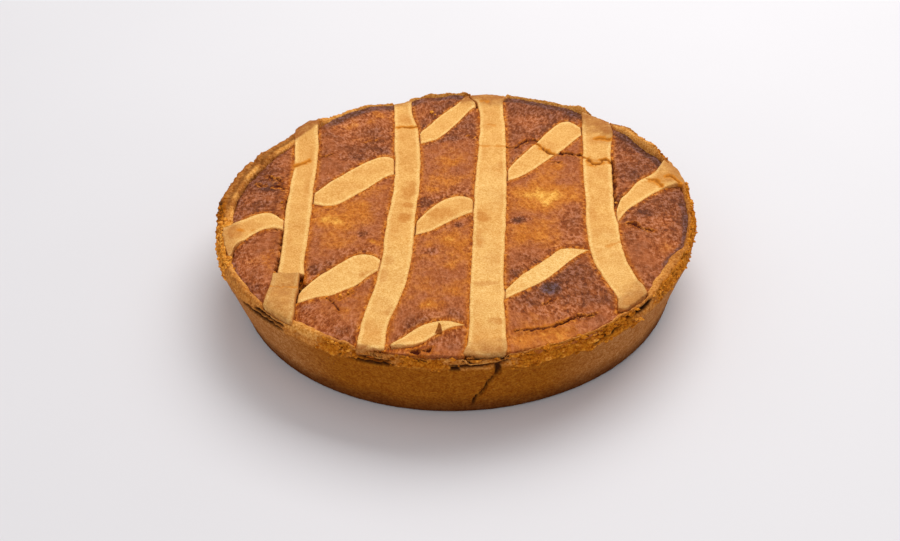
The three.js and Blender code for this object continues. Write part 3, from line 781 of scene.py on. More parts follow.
def crust_section():
    """Half section of the crust, from under its middle over the rim to the inner floor's middle.

    Returns it with the places in it where the rim starts and ends.
    """
    rim_radius, rim_height = size("rim_radius"), size("rim_height")
    base_radius, foot, floor = size("base_radius"), size("foot_rounding"), size("base_thickness")
    shoulder = rim_height - SHOULDER

    def wall(z):
        return between(base_radius, rim_radius, z / shoulder)

    turn = np.linspace(0.0, np.pi / 2, 7)
    flat = wall(foot) - foot * 0.82
    rounded = flat + (wall(foot) - flat) * np.sin(turn)
    foot_line = np.column_stack([rounded, foot * (1 - np.cos(turn))])
    heights = np.linspace(foot, shoulder - 3, 13)[1:-1]
    wall_line = np.column_stack([wall(heights), heights])
    rim_line = smooth_line(np.array(RIM_SECTION) + (rim_radius, rim_height), 0.4)
    start = [(0.0, 0.0), (flat * 0.6, 0.0)]
    inner_foot = (wall(floor) - size("wall_thickness"), floor)
    inner = [(rim_radius - 7.4, shoulder - 4), inner_foot, (0.0, floor)]
    section = np.concatenate([start, foot_line, wall_line, rim_line, inner])
    lowest = len(start) + len(foot_line) + len(heights)
    first = lowest + int(np.argmin(np.abs(rim_line[:12, 1] - shoulder)))
    return section, first, lowest + len(rim_line) - 1


def side_crack(points, angle, height):
    """How open the crack down the near side is at each point."""
    turns, heights = np.array(SIDE_CRACK[::-1], dtype=float).T
    off = (angle + 180) % 360 - 180 - np.interp(height, heights, turns)
    away = np.abs(np.radians(off) * size("rim_radius") + 0.5 * bumps(points, 2, 51))
    width = between(1, 2, ease(height, 22, 34))
    return (1 - ease(away, 0.3 * width, width)) * ease(height, 3, 8)


def crust_relief(points, section, first, last):
    """Breaks the rim, draws the crack down the side and marks what the material colours."""
    # Where each point lies: its share of the way over the rim, and patterns that follow the rim
    radius, angle = polar(points)
    height, top = points[:, 2].copy(), size("rim_height")
    off = (radius[:, None] - section[:, 0]) ** 2 + (height[:, None] - section[:, 1]) ** 2
    nearest = np.argmin(off, axis=1)
    share = (nearest - first) / (last - first)
    shown = share <= 1
    on_rim = ((share >= RIM_FROM) & shown).astype(float)
    slope = np.gradient(section, axis=0)
    slope /= np.linalg.norm(slope, axis=1)[:, None]
    turn = np.radians(angle)
    ring = np.column_stack([np.cos(turn), np.sin(turn), 0 * turn]) * size("rim_radius")
    layers = ring / 7 + share[:, None] * (0, 0, 13)
    ridges = ring / 1.9 + share[:, None] * (0, 0, 2)

    # Broken stretches with crumb, notches, flakes and frayed lower edges
    broken, crumb, tone, fray, slit = np.zeros((5, len(points)))
    sway = 0.05 * bumps(ring, 6, 42, 3) + 0.03 * bumps(ring, 2, 43)
    frayed = ease(bumps(ring, 3, 49), -0.2, 0.3)
    for start, stop, depth, low, high, _, _, _, bright in RIM_BREAKS:
        along = stretch(angle, start, stop, 3)
        lower, upper = low + sway, high + sway
        within = ease(share, lower, lower + 0.05) * (1 - ease(share, upper, upper + 0.08))
        broken = np.maximum(broken, depth * along * within)
        tone = np.where(along * within > 0.3, bright, tone)
        crumb = np.maximum(crumb, min(1, depth / 1.4) * along * within)
        lower_edge = bell(share - low - sway, 0.03, 0.03) * along * frayed
        fray = np.maximum(fray, min(1, depth / 2) * lower_edge)
    crumb *= on_rim
    fray *= on_rim
    torn = ease(bumps(ring, 7, 32, 3), -0.5, 0.4)
    notch = broken * (0.35 + 0.65 * torn) * bell(share, 0.24, 0.22) * on_rim
    flake = bell(bumps(layers, 1, 44), 0, 0.11) * ease(bumps(ring, 8, 45), -0.25, 0.2) * crumb

    # Slits, holes, the banded rim on the left, crags and the crack down the side
    ragged = share + 0.03 * bumps(ring, 4, 21)
    for start, stop, low, high, bow, depth, wide in RIM_SLITS:
        along = clamp((angle - start) / (stop - start))
        lens = np.sqrt(4 * along * (1 - along))
        at = between(low, high, along) + bow * lens
        cut = clamp(1.6 * lens**2) * bell(ragged, at, wide * (0.3 + 0.7 * lens))
        slit = np.maximum(slit, depth * cut * on_rim)
    hole = 1 - ease(pits(points, 2.6, 35), 0.13, 0.32)
    hole = hole * ease(bumps(points, 6, 36), -0.3, 0.15) * crumb
    banded = stretch(angle, 128, 182, 6) * (share > 0) * on_rim
    groove = banded * bell(share, 0.6, 0.05)
    rough = 0.3 * (share > 0) + 0.7 * crumb + 0.35 * bell(share, 0.34, 0.16)
    crag = 0.75 * bumps(points, 2.8, 33, 3) + 0.5 * bumps(points, 1.1, 34)
    crag *= size("crag") * rough * on_rim
    crag += 0.3 * banded * bumps(ridges, 1, 46)
    open_side = side_crack(points, angle, height) * (share < 0.5) * (nearest > 2)
    wavy = 0.1 * bumps(points, 4.5, 37, 3) * ((share < 0) & (nearest > 4))

    # The rim pressed down under the strips, lapped over the filling and out of round
    covered = np.full(len(points), -BEYOND)
    for name, route in ROUTES.items():
        far, near = STRIP_ENDS[name]
        reach = np.where(points[:, 1] > 0, far[0], near[0])
        covered = np.maximum(covered, np.minimum(route.locate(points)[1], reach - radius + 1))
    pressed = ease(covered, 0.2, 1.6) * ease(height, top - 9, top - 3) * shown
    inner = rim_inner(angle)
    skin = overlap(points, inner) * on_rim
    lap = size("rim_radius") - 6.6 - inner + 0.5 * bumps(ring, 12, 31, 3)
    lap += 0.3 * bumps(ring, 3.5, 47)
    out = (crag + wavy) * (1 - pressed) - notch - slit - 0.9 * flake - 1.3 * hole
    out = out - 0.5 * groove - 2 * open_side + 0.6 * fray
    outside = (radius > WALL_FROM) * shown
    oval = 0.7 * bumps(ring, 60, 38) * ease(height, 4, 26) * outside
    for at, reach, depth in WALL_DENTS:
        oval -= depth * near_angle(angle, at, reach) * ease(height, 2, 12) * outside
    wider = radius + oval + out * slope[nearest, 1] - lap * ease(share, 0.3, 0.75) * shown
    lift = (rim_crest(angle) - top) * ease(height, 18, top - SHOULDER) * shown
    higher = height + lift - out * slope[nearest, 0] - 2.6 * pressed
    higher = higher - 0.5 * skin * ease(share, 0.36, 0.52)
    higher += 0.4 * bumps(ring, 5, 39, 3) * ease(share, 0.1, 0.3) * shown
    points[:, :2] *= np.where(radius > 1, wider / np.maximum(radius, 1), 1)[:, None]
    points[:, 2] = np.where(nearest < 3, 0, np.maximum(higher, 0))

    # Singed places, the light lip with painted light on the far rim, and dark places: a scorched
    # spot and painted shade in slits, holes, flakes, deep notches, the groove, the side crack and
    # at the foot
    # Painted shade where the notches are deep
    deep = 0.35 * clamp((notch - 1.5) / 1.4)
    crisp = stretch(angle, 25, 46, 6) * ease(share, 0.02, 0.15) * (1 - ease(share, 0.52, 0.66))
    singed = np.maximum(0.9 * crisp, 0.7 * stretch(angle, 257, 269, 3) * bell(share, 0.5, 0.1))
    scorch = near_angle(angle, 176, 3.5) * ease(share, 0.08, 0.2) * (1 - ease(share, 0.4, 0.5))
    lip = bell(share, 0.74, 0.1) * ease(bumps(ring, 11, 41), -0.35, 0.35)
    near = 0.6 * stretch(angle, 229, 240, 2) * ease(share, 0.2, 0.34)
    # Painted light on the far rim, whose inner face the lamps leave in shade
    far = 0.8 * stretch(angle, 20, 132, 6) * ease(share, 0.12, 0.3)
    far = far * (0.8 + 0.6 * bumps(ring, 5, 40))
    # Painted contact shadow along the foot of the wall, where it meets the table
    foot = 0.6 * (1 - ease(height, 0.6, 3.2)) * (share < 0)
    # Painted shade in the slits, holes, flake lines, deep notches, groove and side crack, with the
    # scorched spot
    dark = [slit / 1.2, hole, 0.5 * flake, deep, open_side, scorch, 0.4 * groove, foot]
    return points, {
        "rim": ease(share, -0.02 + sway, 0.12 + sway) * shown,
        # Painted light and sheen: the wall is paler on its sides, away from the front
        "pale": (1 - stretch(angle, 224, 308, 20)) * shown,
        "crumb": crumb,
        "tone": tone - 0.15 + 0.5 * fray,
        # The lip, with painted light on the far rim
        "lip": np.maximum.reduce([lip * stretch(angle, 125, 340, 8), near, far]),
        "baked": 0.35 * banded,
        "singed": singed * (0.8 + 0.8 * bumps(ring, 4, 48, 3)),
        "dark": np.maximum.reduce(dark),
    }


def length(name, description, default):
    """A size setting."""
    return FloatProperty(name=name, description=description, default=default, unit="LENGTH")


def turned(name, description, default):
    """An angle setting, given in degrees."""
    default = math.radians(default)
    return FloatProperty(name=name, description=description, default=default, subtype="ANGLE")


def tint(name, description, default):
    """A colour setting."""
    return FloatVectorProperty(
        name=name, description=description, default=default, subtype="COLOR", min=0.0, max=1.0
    )


class PastieraSizes(PropertyGroup):
    """Sizes of the tart."""

    rim_radius: length("Rim radius", "Outside radius at the rim", 0.115)
    rim_height: length("Rim height", "Height of the rim's top", 0.0383)
    base_radius: length("Base radius", "Radius of the wall at the table", 0.1045)
    base_thickness: length("Base", "Thickness of the pastry base", 0.005)
    wall_thickness: length("Wall", "Thickness of the pastry wall", 0.006)
    foot_rounding: length("Foot", "Rounding of the lower edge", 0.0025)
    filling_below_rim: length("Filling drop", "Filling's edge below the rim", 0.0016)
    filling_dome: length("Filling dome", "Rise of the filling's middle", 0.0008)
    filling_puff: length("Filling puff", "Swelling beside the strips", 0.0007)
    strip_thickness: length("Strip", "Thickness of a strip", 0.0032)
    strip_proud: length("Strip proud", "Strip's top above the filling", 0.00035)
    strip_over_rim: length("Strip over rim", "Strip's top above the rim", 0.0003)
    strip_edge_round: length("Strip edge", "Rounding of a strip's edge", 0.0006)
    crossing_hump: length("Crossing hump", "Rise at a crossing", 0.0007)
    lap_rise: length("Lap", "Rise of the lapped strip end", 0.0014)
    crag: length("Crag", "Roughness of the broken rim", 0.0009)
    camera_distance: length("Camera distance", "From the tart's middle", 0.62375)
    camera_aim: length("Camera aim", "Aim beside the tart's middle", -0.00313)
    camera_elevation: turned("Camera elevation", "Camera's height as an angle", 35.769)
    camera_roll: turned("Camera roll", "Camera's turn about its view", -1.722)


class PastieraColours(PropertyGroup):
    """Colours of the tart."""

    strip_pale: tint("Strip pale", "Pale face of the strips", (0.81, 0.43, 0.122))
    # Paler parts of the strips, and the painted highlight along their edges
    strip_light: tint("Strip light", "Paler parts of the strips", (0.93, 0.60, 0.215))
    strip_gold: tint("Strip gold", "Golden patches of the strips", (0.62, 0.25, 0.050))
    strip_orange: tint("Strip orange", "Edges of the strips", (0.56, 0.20, 0.036))
    strip_brown: tint("Strip brown", "Baked ends of the strips", (0.38, 0.128, 0.028))
    # Painted shade in the cracks of the strips
    strip_crack_shade: tint("Strip crack", "Cracks in the strips", (0.23, 0.064, 0.005))
    strip_torn: tint("Strip torn", "Pastry beside the strips' cracks", (0.66, 0.225, 0.018))
    filling_hot: tint("Filling hot", "Brightest filling", (0.84, 0.38, 0.062))
    filling_light: tint("Filling light", "Light filling", (0.60, 0.185, 0.024))
    filling_orange: tint("Filling orange", "Orange filling", (0.43, 0.127, 0.041))
    filling_brown: tint("Filling brown", "Baked skin of the filling", (0.262, 0.080, 0.032))
    # Toasted skin of the filling, and painted shade in the pits of its relief
    filling_toast_and_pit_shade: tint("Filling dark", "Toasted skin of the filling", (0.115, 0.040, 0.025))
    filling_fringe: tint("Filling fringe", "Torn filling, and by the strips", (0.54, 0.148, 0.008))
    # Burnt skin of the filling, its grey-purple tint partly a painted sheen
    filling_burnt_and_sheen: tint("Filling burnt", "Burnt skin of the filling", (0.112, 0.051, 0.041))
    # Painted shade in the filling's cracks and in the gaps beside the strips
    filling_crack_shade: tint("Filling crack", "Cracks in the filling", (0.088, 0.011, 0.0025))
    crust_tan: tint("Crust tan", "Baked rim", (0.58, 0.218, 0.042))
    crust_brown: tint("Crust brown", "Well baked rim", (0.30, 0.095, 0.02))
    crust_singed: tint("Crust singed", "Singed rim", (0.17, 0.062, 0.03))
    crust_ginger: tint("Crust ginger", "Dark crumb", (0.30, 0.074, 0.003))
    crust_gold: tint("Crust gold", "Crumb of the broken rim", (0.56, 0.180, 0.011))
    crust_flake: tint("Crust flake", "Light crumb of the broken rim", (0.84, 0.35, 0.05))
    # Lip of the rim, also painted light on the far rim
    crust_light: tint("Crust light", "Lip of the rim", (0.84, 0.385, 0.088))
    # Painted light and sheen on the sides of the crust
    crust_lit_side: tint("Crust pale", "Paler side of the crust", (0.44, 0.17, 0.045))
    crust_wall: tint("Crust wall", "Side of the crust", (0.335, 0.10, 0.006))
    # Painted shade: the side of the crust darkens towards the table
    crust_low_shade: tint("Crust low", "Side of the crust near the table", (0.138, 0.037, 0.006))
    # Scorched crust, and painted shade in the crust's holes, slits and cracks and at its foot
    crust_scorch_and_shade: tint("Crust dark", "Scorched crust and holes", (0.05, 0.014, 0.004))
    floor: tint("Floor", "Plain pale floor", (0.76, 0.75, 0.785))


class Paint:
    """A material under way. Where a share is due, the name of a mark stands for that mark."""

    def __init__(self, name):
        self.material = bpy.data.materials.new(name)
        self.material.use_nodes = True
        self.tree = self.material.node_tree
        self.coords = self.node("TexCoord").outputs["Object"]

    def join(self, node, inputs):
        """Gives a node's inputs plain values or joins other nodes' outputs to them."""
        for key, value in inputs.items():
            if isinstance(value, str):
                value = self.node("Attribute", attribute_name=value).outputs["Fac"]
            if isinstance(value, bpy.types.NodeSocket):
                self.tree.links.new(value, node.inputs[key])
            else:
                node.inputs[key].default_value = value

    def node(self, kind, inputs=None, **settings):
        """A shader node with its settings and inputs."""
        node = self.tree.nodes.new("ShaderNode" + kind)
        for key, value in settings.items():
            setattr(node, key, value)
        self.join(node, inputs or {})
        return node

    def blend(self, share, first, second, mode="MIX"):
        """Two colours mixed by a share, each a value or the name of a colour setting."""
        if isinstance(first, str):
            first = colour(first)
        if isinstance(second, str):
            second = colour(second)
        settings = {"data_type": "RGBA", "blend_type": mode, "clamp_factor": True}
        return self.node("Mix", {0: share, 6: first, 7: second}, **settings).outputs[2]

    def calc(self, operation, first, second):
        """Two values joined by a sum."""
        return self.node("Math", {0: first, 1: second}, operation=operation).outputs[0]

    def times(self, first, second):
        """The product of two values."""
        return self.calc("MULTIPLY", first, second)

    def plus(self, first, second, share=1.0):
        """The first value and a share of the second."""
        return self.calc("ADD", first, self.times(second, share))

    def ramp(self, value, low, high, bottom=0.0, top=1.0):
        """A value eased from one range to another."""
        ends = {"From Min": low, "From Max": high, "To Min": bottom, "To Max": top}
        node = self.node("MapRange", {"Value": value, **ends}, interpolation_type="SMOOTHSTEP")
        return node.outputs[0]

    def grain(self, scale, detail=2.0, roughness=0.55, coords=None):
        """Random grain of so many bumps a metre."""
        inputs = {"Scale": scale, "Detail": detail, "Roughness": roughness}
        inputs["Vector"] = self.coords if coords is None else coords
        return self.node("TexNoise", inputs).outputs["Fac"]

    def speckle(self, tone, share, spread):
        """Fine light and dark grains over a colour."""
        spreads = spread * np.array([1, 1.7, 3])
        dark, light = (*np.maximum(1 - spreads, 0).tolist(), 1.0), (*(1 + spreads).tolist(), 1.0)
        return self.blend(1.0, tone, self.blend(share, dark, light), "MULTIPLY")

    def finish(self, tone, rough, height, distance, strength, shine=0.5):
        """The material with its colour, roughness, fine relief and shine."""
        relief = self.node("Bump", {"Height": height, "Distance": distance, "Strength": strength})
        self.join(self.tree.nodes["Principled BSDF"], {
            "Base Color": tone,
            "Roughness": rough,
            "Normal": relief.outputs["Normal"],
            "Specular IOR Level": shine,
        })
        return self.material


def strip_material():
    """Pale baked pastry with golden stains, browned ends, a painted highlight along the edges and
    painted shade in the cracks.
    """
    paint = Paint("baked_strip")
    middle, fine = paint.grain(420), paint.grain(1500, 2, 0.6)
    edge = paint.times("edge", paint.ramp(middle, 0.38, 0.62, 0.1, 1))
    baked = paint.times("browning", paint.ramp(paint.grain(240, 3), 0.3, 0.62, 0.7, 1.1))
    tone = paint.blend("stain", "strip_pale", "strip_gold")
    # Paler patches, and the painted highlight along the edges
    tone = paint.blend(paint.times("pale_and_edge_highlight", 0.6), tone, "strip_light")
    tone = paint.blend(paint.times(edge, 0.8), tone, "strip_orange")
    tone = paint.blend(baked, tone, "strip_brown")
    tone = paint.speckle(tone, paint.ramp(fine, 0.3, 0.7), 0.13)
    tone = paint.speckle(tone, paint.ramp(middle, 0.35, 0.65), 0.035)
    tone = paint.blend("torn", tone, "strip_torn")
    # Painted shade in the cracks
    tone = paint.blend("dark", tone, "strip_crack_shade")
    return paint.finish(tone, 0.85, paint.plus(fine, middle, 1.4), 0.0003, 0.6, 0.08)


def filling_material():
    """Baked filling: an orange and red-brown mottle, toasted and burnt in places, with a painted
    sheen on the burnt skin, painted light and shade on its grain, and painted shade in its pits,
    cracks and gaps.
    """
    paint = Paint("baked_filling")
    drawn_out = paint.node("Mapping", {"Vector": paint.coords, "Scale": (1.0, 0.62, 1.0)})
    fine, coarse, middle = (
        paint.grain(scale, detail, 0.6, drawn_out.outputs["Vector"])
        for scale, detail in ((1050, 2), (520, 2), (230, 3))
    )
    value = paint.times(paint.calc("SUBTRACT", middle, 0.5), 0.5)
    value = paint.plus(value, paint.calc("SUBTRACT", paint.grain(80, 3, 0.6), 0.5), 0.95)
    value = paint.plus(paint.plus(value, "toast", -0.5), "glow", 0.75)
    tone = paint.blend(paint.ramp(value, -0.9, -0.4), "filling_toast_and_pit_shade", "filling_brown")
    for low, high, name in ((-0.45, 0.05, "orange"), (0, 0.5, "light"), (0.45, 0.8, "hot")):
        tone = paint.blend(paint.ramp(value, low, high), tone, "filling_" + name)
    torn = paint.times("torn", paint.ramp(fine, 0.35, 0.6, 0.3, 0.9))
    tone = paint.blend(torn, tone, "filling_fringe")
    tone = paint.blend("fringe", tone, "filling_fringe")
    burnt = paint.times("burnt", paint.ramp(middle, 0.3, 0.6, 0.75, 1))
    # Burnt skin, with a painted sheen in its grey-purple tint
    tone = paint.blend(burnt, tone, "filling_burnt_and_sheen")
    contrast = paint.ramp("toast", 0.1, 0.6, 0.3, 0.9)
    ends = paint.calc("SUBTRACT", 0.5, contrast), paint.calc("ADD", 0.5, contrast)
    # The grains are lighter where the relief rises and darker where it sinks: partly the filling's
    # own mottle, partly painted light and shade on the grain
    tone = paint.speckle(tone, paint.ramp(fine, 0.32, 0.68, *ends), 0.22)
    tone = paint.speckle(tone, paint.ramp(coarse, 0.35, 0.65, *ends), 0.2)
    # Painted shade in the pits of the relief, strongest where the skin is toasted
    pit = paint.times(paint.ramp(coarse, 0.36, 0.46, 0.6, 0), "toast")
    tone = paint.blend(pit, tone, "filling_toast_and_pit_shade")
    # Painted shade in the cracks and in the gaps beside the strips
    tone = paint.blend("dark", tone, "filling_crack_shade")
    rough = paint.ramp(fine, 0.3, 0.7, 0.55, 0.75)
    return paint.finish(tone, rough, paint.plus(fine, coarse, 1.5), 0.0009, 0.9, 0.06)


def crust_material():
    """Baked crust: a tan rim, golden crumb where it is broken and a darker wall, with painted shade
    towards the table, at the foot and in its recesses, and painted light on the sides and the far
    rim.
    """
    paint = Paint("baked_crust")
    up = paint.node("SeparateXYZ", {"Vector": paint.coords}).outputs["Z"]
    fine, middle = paint.grain(1050, 2, 0.6), paint.grain(340, 3, 0.65)
    # Painted shade darkens the wall towards the table
    low = paint.ramp(paint.plus(up, paint.grain(50, 3), 0.008), 0.004, 0.019)
    # Painted light and sheen make the sides of the wall paler
    wall = paint.blend("pale", "crust_wall", "crust_lit_side")
    wall = paint.blend(low, "crust_low_shade", wall)
    wall = paint.speckle(wall, paint.ramp(middle, 0.3, 0.7), 0.12)
    brown = paint.plus(paint.ramp(middle, 0.42, 0.68, 0, 0.6), "baked")
    rim = paint.blend(brown, "crust_tan", "crust_brown")
    # The lip, with painted light on the far rim
    rim = paint.blend("lip", rim, "crust_light")
    rim = paint.blend("singed", rim, "crust_singed")
    ripe = paint.plus(paint.ramp(middle, 0.3, 0.7, -0.35, 0.35), "tone")
    crumb = paint.blend(paint.ramp(ripe, -0.1, 0.4), "crust_ginger", "crust_gold")
    crumb = paint.blend(paint.ramp(ripe, 0.6, 1.1), crumb, "crust_flake")
    tone = paint.blend("crumb", paint.blend("rim", wall, rim), crumb)
    tone = paint.speckle(tone, paint.ramp(fine, 0.3, 0.7), 0.22)
    # The scorched spot, and painted shade in the recesses and at the foot
    tone = paint.blend("dark", tone, "crust_scorch_and_shade")
    return paint.finish(tone, 0.9, paint.plus(fine, middle, 1.2), 0.0006, 0.75, 0.04)


def floor_material():
    """Plain pale floor with a trace of unevenness."""
    paint = Paint("pale_floor")
    dull = (*(0.96 * value for value in colour("floor")[:3]), 1.0)
    tone = paint.blend(paint.grain(6), "floor", dull)
    return paint.finish(tone, 0.6, paint.grain(300), 0.0001, 0.1)


def runs_around(edge):
    """Whether an edge lies on a circle about the tart's middle."""
    first, second = (vert.co for vert in edge.verts)
    same = abs(first.xy.length - second.xy.length) < SAME and abs(first.z - second.z) < SAME
    return same and edge.calc_length() > SHORT


class PASTIERA_OT_crust(Operator):
    """Builds the crust: base, wall and broken rim"""

    bl_idname = "pastiera.crust"
    bl_label = "Crust"

    def execute(self, context):
        """Turns the section of the crust about the middle and breaks its rim."""
        section, first, last = crust_section()
        bm = bmesh.new()
        verts = [bm.verts.new((radius, 0, height)) for radius, height in section.tolist()]
        edges = [bm.edges.new(pair) for pair in zip(verts[:-1], verts[1:])]
        bmesh.ops.spin(
            bm, geom=verts + edges, cent=(0, 0, 0), axis=(0, 0, 1), angle=2 * math.pi,
            steps=CRUST_STEPS, use_merge=True, use_duplicate=False,
        )
        around = [edge for edge in bm.edges if runs_around(edge)]
        bmesh.ops.subdivide_edges(bm, edges=around, cuts=CRUST_CUTS, use_grid_fill=True)
        bmesh.ops.remove_doubles(bm, verts=bm.verts[:], dist=SAME / 2)
        points, marks = crust_relief(corners(bm), section, first, last)
        make_piece(bm, "crust", points, marks, crust_material(), ["crust"])
        return {"FINISHED"}


class PASTIERA_OT_filling(Operator):
    """Builds the filling with its baked skin"""

    bl_idname = "pastiera.filling"
    bl_label = "Filling"

    def execute(self, context):
        """Rounds a grid to a disc, gives it the skin's relief and closes it below."""
        bm = bmesh.new()
        bmesh.ops.create_grid(bm, x_segments=FILLING_CELLS, y_segments=FILLING_CELLS, size=1.0)
        border = [edge for edge in bm.edges if edge.is_boundary]
        raise_grown(bm, bmesh.ops.extrude_edge_only(bm, edges=border), -1)
        bmesh.ops.edgeloop_fill(bm, edges=[edge for edge in bm.edges if edge.is_boundary])
        x, y, lowered = corners(bm).T
        disc = np.column_stack([x * np.sqrt(1 - y**2 / 2), y * np.sqrt(1 - x**2 / 2), 0 * x])
        points = disc * (size("rim_radius") - FILLING_INSET)
        height, marks = filling_relief(points)
        below = lowered < -0.5
        points[:, 2] = np.where(below, size("base_thickness") + 0.3, height)
        points[below, :2] *= FILLING_TAPER
        make_piece(bm, "filling", points, marks, filling_material(), ["filling"])
        return {"FINISHED"}


class PASTIERA_OT_strips(Operator):
    """Builds the lattice of long and cross strips"""

    bl_idname = "pastiera.strips"
    bl_label = "Strips"

    def execute(self, context):
        """Lays the cross strips and then the long strips over them."""
        material = strip_material()
        for number, (name, route) in enumerate(CROSS_ROUTES.items()):
            make_strip(name, route, cross_top, CROSS_CELLS, 100 + 10 * number, material)
        for number, (name, route) in enumerate(LONG_ROUTES.items()):
            make_strip(name, route, long_top, LONG_CELLS, 200 + 10 * number, material)
        return {"FINISHED"}


def turn_by(first, second, angle):
    """Two coordinates turned by an angle in radians."""
    cos, sin = np.cos(angle), np.sin(angle)
    return first * cos - second * sin, first * sin + second * cos


def make_bits(bm, name, points, marks):
    """A piece of loose pastry, which takes the crust's material and stands for no solid."""
    marks = {"rim": np.ones(len(points)), **marks}
    material = bpy.data.materials["baked_crust"]
    return make_piece(bm, name, points, marks, material, [])


def scatter(name, centres, sizes, turns, tilts, tones, seed):
    """Many small rough lumps as one piece, each with its place, sizes, turn, tilt and tone."""
    bm = bmesh.new()
    bmesh.ops.create_icosphere(bm, subdivisions=2, radius=0.5)
    each = len(bm.verts)
    while len(bm.verts) < each * len(centres):
        bmesh.ops.duplicate(bm, geom=bm.verts[:] + bm.edges[:] + bm.faces[:])
    balls = corners(bm)
    which = np.arange(len(balls)) // each
    rough = 1 + 0.55 * bumps(balls + which[:, None] * 3.1, 0.45, seed)
    x, y, z = (balls * rough[:, None] * sizes[which]).T
    y, z = turn_by(y, z, tilts[which])
    x, y = turn_by(x, y, turns[which])
    points = centres[which] + np.column_stack([x, y, z])
    piece = make_bits(bm, name, points, {"crumb": np.ones(len(points)), "tone": tones[which]})
    piece.data.shade_flat()


class PASTIERA_OT_crumbs(Operator):
    """Builds the crumb of the broken rim and the loose crumbs"""

    bl_idname = "pastiera.crumbs"
    bl_label = "Crumbs"

    def execute(self, context):
        """Sets rough lumps into the broken rim and on the filling."""
        draw = np.random.default_rng(5)
        self.rim_crumbs(draw)
        self.loose_crumbs(draw)
        self.flake()
        return {"FINISHED"}

    def rim_crumbs(self, draw):
        """The lumps of the broken rim."""
        count, breaks = CRUMB_COUNT, np.array(RIM_BREAKS, dtype=float)
        odds = breaks[:, 5]
        pick = draw.choice(len(breaks), count, p=odds / odds.sum())
        start, stop, _, low, high, _, wide, long, tone = breaks[pick].T
        turn = np.radians(between(start, stop, draw.random(count)))
        section, first, last = crust_section()
        where = first + between(low, high, draw.random(count)) * (last - first)
        reach, height = (np.interp(where, np.arange(len(section)), line) for line in section.T)
        places = np.column_stack([reach * np.cos(turn), reach * np.sin(turn), height])
        places, _ = crust_relief(places, section, first, last)
        lumps = wide * (0.45 + 0.75 * draw.random(count) ** 2)
        spread = draw.random((3, count))
        sizes = [long * (0.8 + 0.5 * spread[0]), 0.9 + 0.3 * spread[1], 0.55 + 0.3 * spread[2]]
        sizes = lumps[:, None] * np.column_stack(sizes)
        turns = turn + np.pi / 2 + 0.5 * draw.standard_normal(count)
        tones = clamp(tone + 0.2 * draw.standard_normal(count))
        tilts = 0.5 * draw.standard_normal(count)
        scatter("rim_crumbs", places, sizes, turns, tilts, tones, 71)

    def loose_crumbs(self, draw):
        """The crumbs that lie on the filling."""
        places, count = np.array(CRUMBS, dtype=float), len(CRUMBS)
        wide = places[:, 2].copy()
        heights, _ = filling_relief(places)
        places[:, 2] = heights + 0.3 * wide
        sizes = wide[:, None] * np.array([1.2, 0.9, 0.8])
        turns, tilts = 3 * draw.random(count), 0.4 * draw.random(count)
        scatter("loose_crumbs", places, sizes, turns, tilts, 0.55 + 0.4 * draw.random(count), 72)

    def flake(self):
        """One flake of pastry that stands up at the near edge."""
        bm = bmesh.new()
        bmesh.ops.create_cone(
            bm, cap_ends=True, segments=24, radius1=1.8, radius2=0.25, depth=FLAKE_TALL
        )
        bmesh.ops.subdivide_edges(bm, edges=bm.edges[:], cuts=3, use_grid_fill=True)
        points = corners(bm)
        rise = (points[:, 2] + FLAKE_TALL / 2) / FLAKE_TALL
        points[:, 1] *= 0.4
        points[:, 0] += 1.1 * rise - 0.6 * rise**2
        points[:, 1] += 1.6 * rise**2
        points += 0.25 * bumps(points, 1.2, 73)[:, None]
        heights, _ = filling_relief(np.array([(*FLAKE_FOOT, 0.0)]))
        points += (*FLAKE_FOOT, heights[0] + 2)
        make_bits(bm, "flake", points, {"baked": 0 * rise + 0.2, "singed": 0.2 * (1 - rise)})


def looking(place, aim):
    """The frame of a lamp or camera that looks from a place at an aim."""
    turn = (Vector(aim) - Vector(place)).to_track_quat("-Z", "Y").to_matrix().to_4x4()
    return Matrix.Translation(place) @ turn


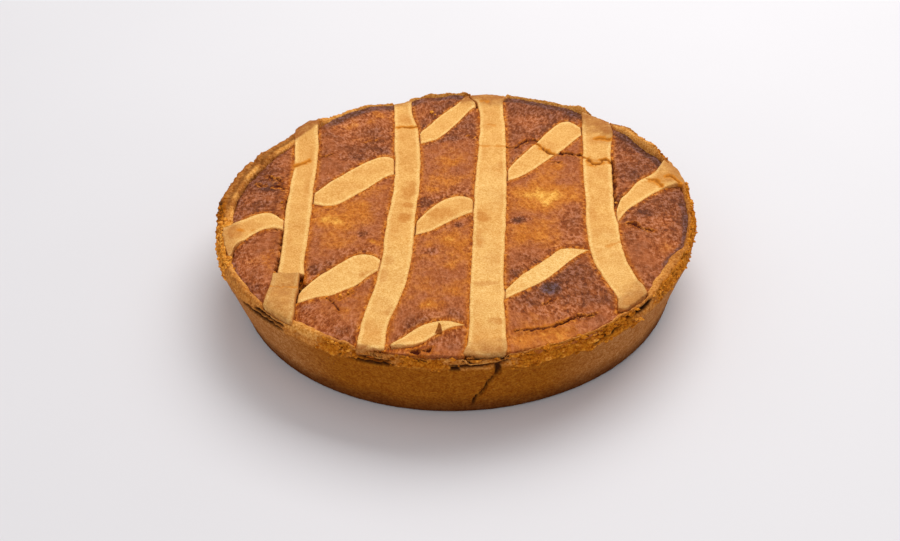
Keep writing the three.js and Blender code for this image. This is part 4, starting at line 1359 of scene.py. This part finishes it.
class PASTIERA_OT_stage(Operator):
    """Sets the floor, the light and the camera"""

    bl_idname = "pastiera.stage"
    bl_label = "Stage"

    def execute(self, context):
        """Lays a pale floor, hangs soft lights and places the camera."""
        scene = context.scene
        bm = bmesh.new()
        bmesh.ops.create_grid(bm, x_segments=1, y_segments=1, size=FLOOR_HALF)
        floor = link_mesh(bm, "floor", floor_material())

        self.add_light("window_light", (0.35, 0.75, 1.15), 0.03, 1.3, 15.0, (1.0, 0.98, 0.95))
        self.add_light("front_fill", (-0.35, -1.3, 0.9), 0.02, 1.2, 4.0, (1.0, 0.98, 0.96))
        world = bpy.data.worlds.new("pale_room")
        world.use_nodes = True
        background = world.node_tree.nodes["Background"]
        background.inputs["Color"].default_value = (1.0, 0.99, 0.98, 1.0)
        background.inputs["Strength"].default_value = 0.55
        scene.world = world

        sizes = scene.pastiera_sizes
        lens = bpy.data.cameras.new("camera")
        lens.lens = 50.0
        lens.sensor_width = 36.0
        lens.clip_start = 0.01
        camera = bpy.data.objects.new("camera", lens)
        scene.collection.objects.link(camera)
        rise, reach = math.sin(sizes.camera_elevation), math.cos(sizes.camera_elevation)
        eye = Vector((0, -reach, rise)) * sizes.camera_distance
        roll = Matrix.Rotation(sizes.camera_roll, 4, "Z")
        camera.matrix_world = looking(eye, (sizes.camera_aim, 0, 0)) @ roll
        scene.camera = camera
        scene.view_settings.view_transform = "Standard"
        return {"FINISHED"}

    def add_light(self, name, place, aim_height, wide, power, tone):
        """One soft rectangular light that shines on the tart."""
        light = bpy.data.lights.new(name, "AREA")
        light.shape = "RECTANGLE"
        light.size, light.size_y = wide, LIGHT_DEEP
        light.energy = power
        light.color = tone
        lamp = bpy.data.objects.new(name, light)
        bpy.context.scene.collection.objects.link(lamp)
        lamp.matrix_world = looking(place, (0, 0, aim_height))


OPERATORS = (
    PASTIERA_OT_crust, PASTIERA_OT_filling, PASTIERA_OT_strips, PASTIERA_OT_crumbs,
    PASTIERA_OT_stage,
)


class PASTIERA_PT_panel(Panel):
    """Lists the pieces of the tart"""

    bl_idname = "PASTIERA_PT_panel"
    bl_label = "Pastiera"
    bl_space_type = "VIEW_3D"
    bl_region_type = "UI"
    bl_category = "Pastiera"

    def draw(self, context):
        """Shows a button for each piece, then the sizes and colours."""
        for operator in OPERATORS:
            self.layout.operator(operator.bl_idname)
        for group in (context.scene.pastiera_sizes, context.scene.pastiera_colours):
            box = self.layout.box()
            for key in group.__annotations__:
                box.prop(group, key)


CLASSES = (PastieraSizes, PastieraColours, *OPERATORS, PASTIERA_PT_panel)


def register():
    """Adds the classes and the tart's settings to Blender."""
    for kind in CLASSES:
        bpy.utils.register_class(kind)
    bpy.types.Scene.pastiera_sizes = PointerProperty(type=PastieraSizes)
    bpy.types.Scene.pastiera_colours = PointerProperty(type=PastieraColours)


def unregister():
    """Takes the classes and the settings away again."""
    del bpy.types.Scene.pastiera_colours
    del bpy.types.Scene.pastiera_sizes
    for kind in reversed(CLASSES):
        bpy.utils.unregister_class(kind)


def main():
    """Adds the tart's settings and builds the tart piece by piece."""
    register()
    bpy.ops.pastiera.crust()
    bpy.ops.pastiera.filling()
    bpy.ops.pastiera.strips()
    bpy.ops.pastiera.crumbs()
    bpy.ops.pastiera.stage()


if __name__ == "__main__":
    main()
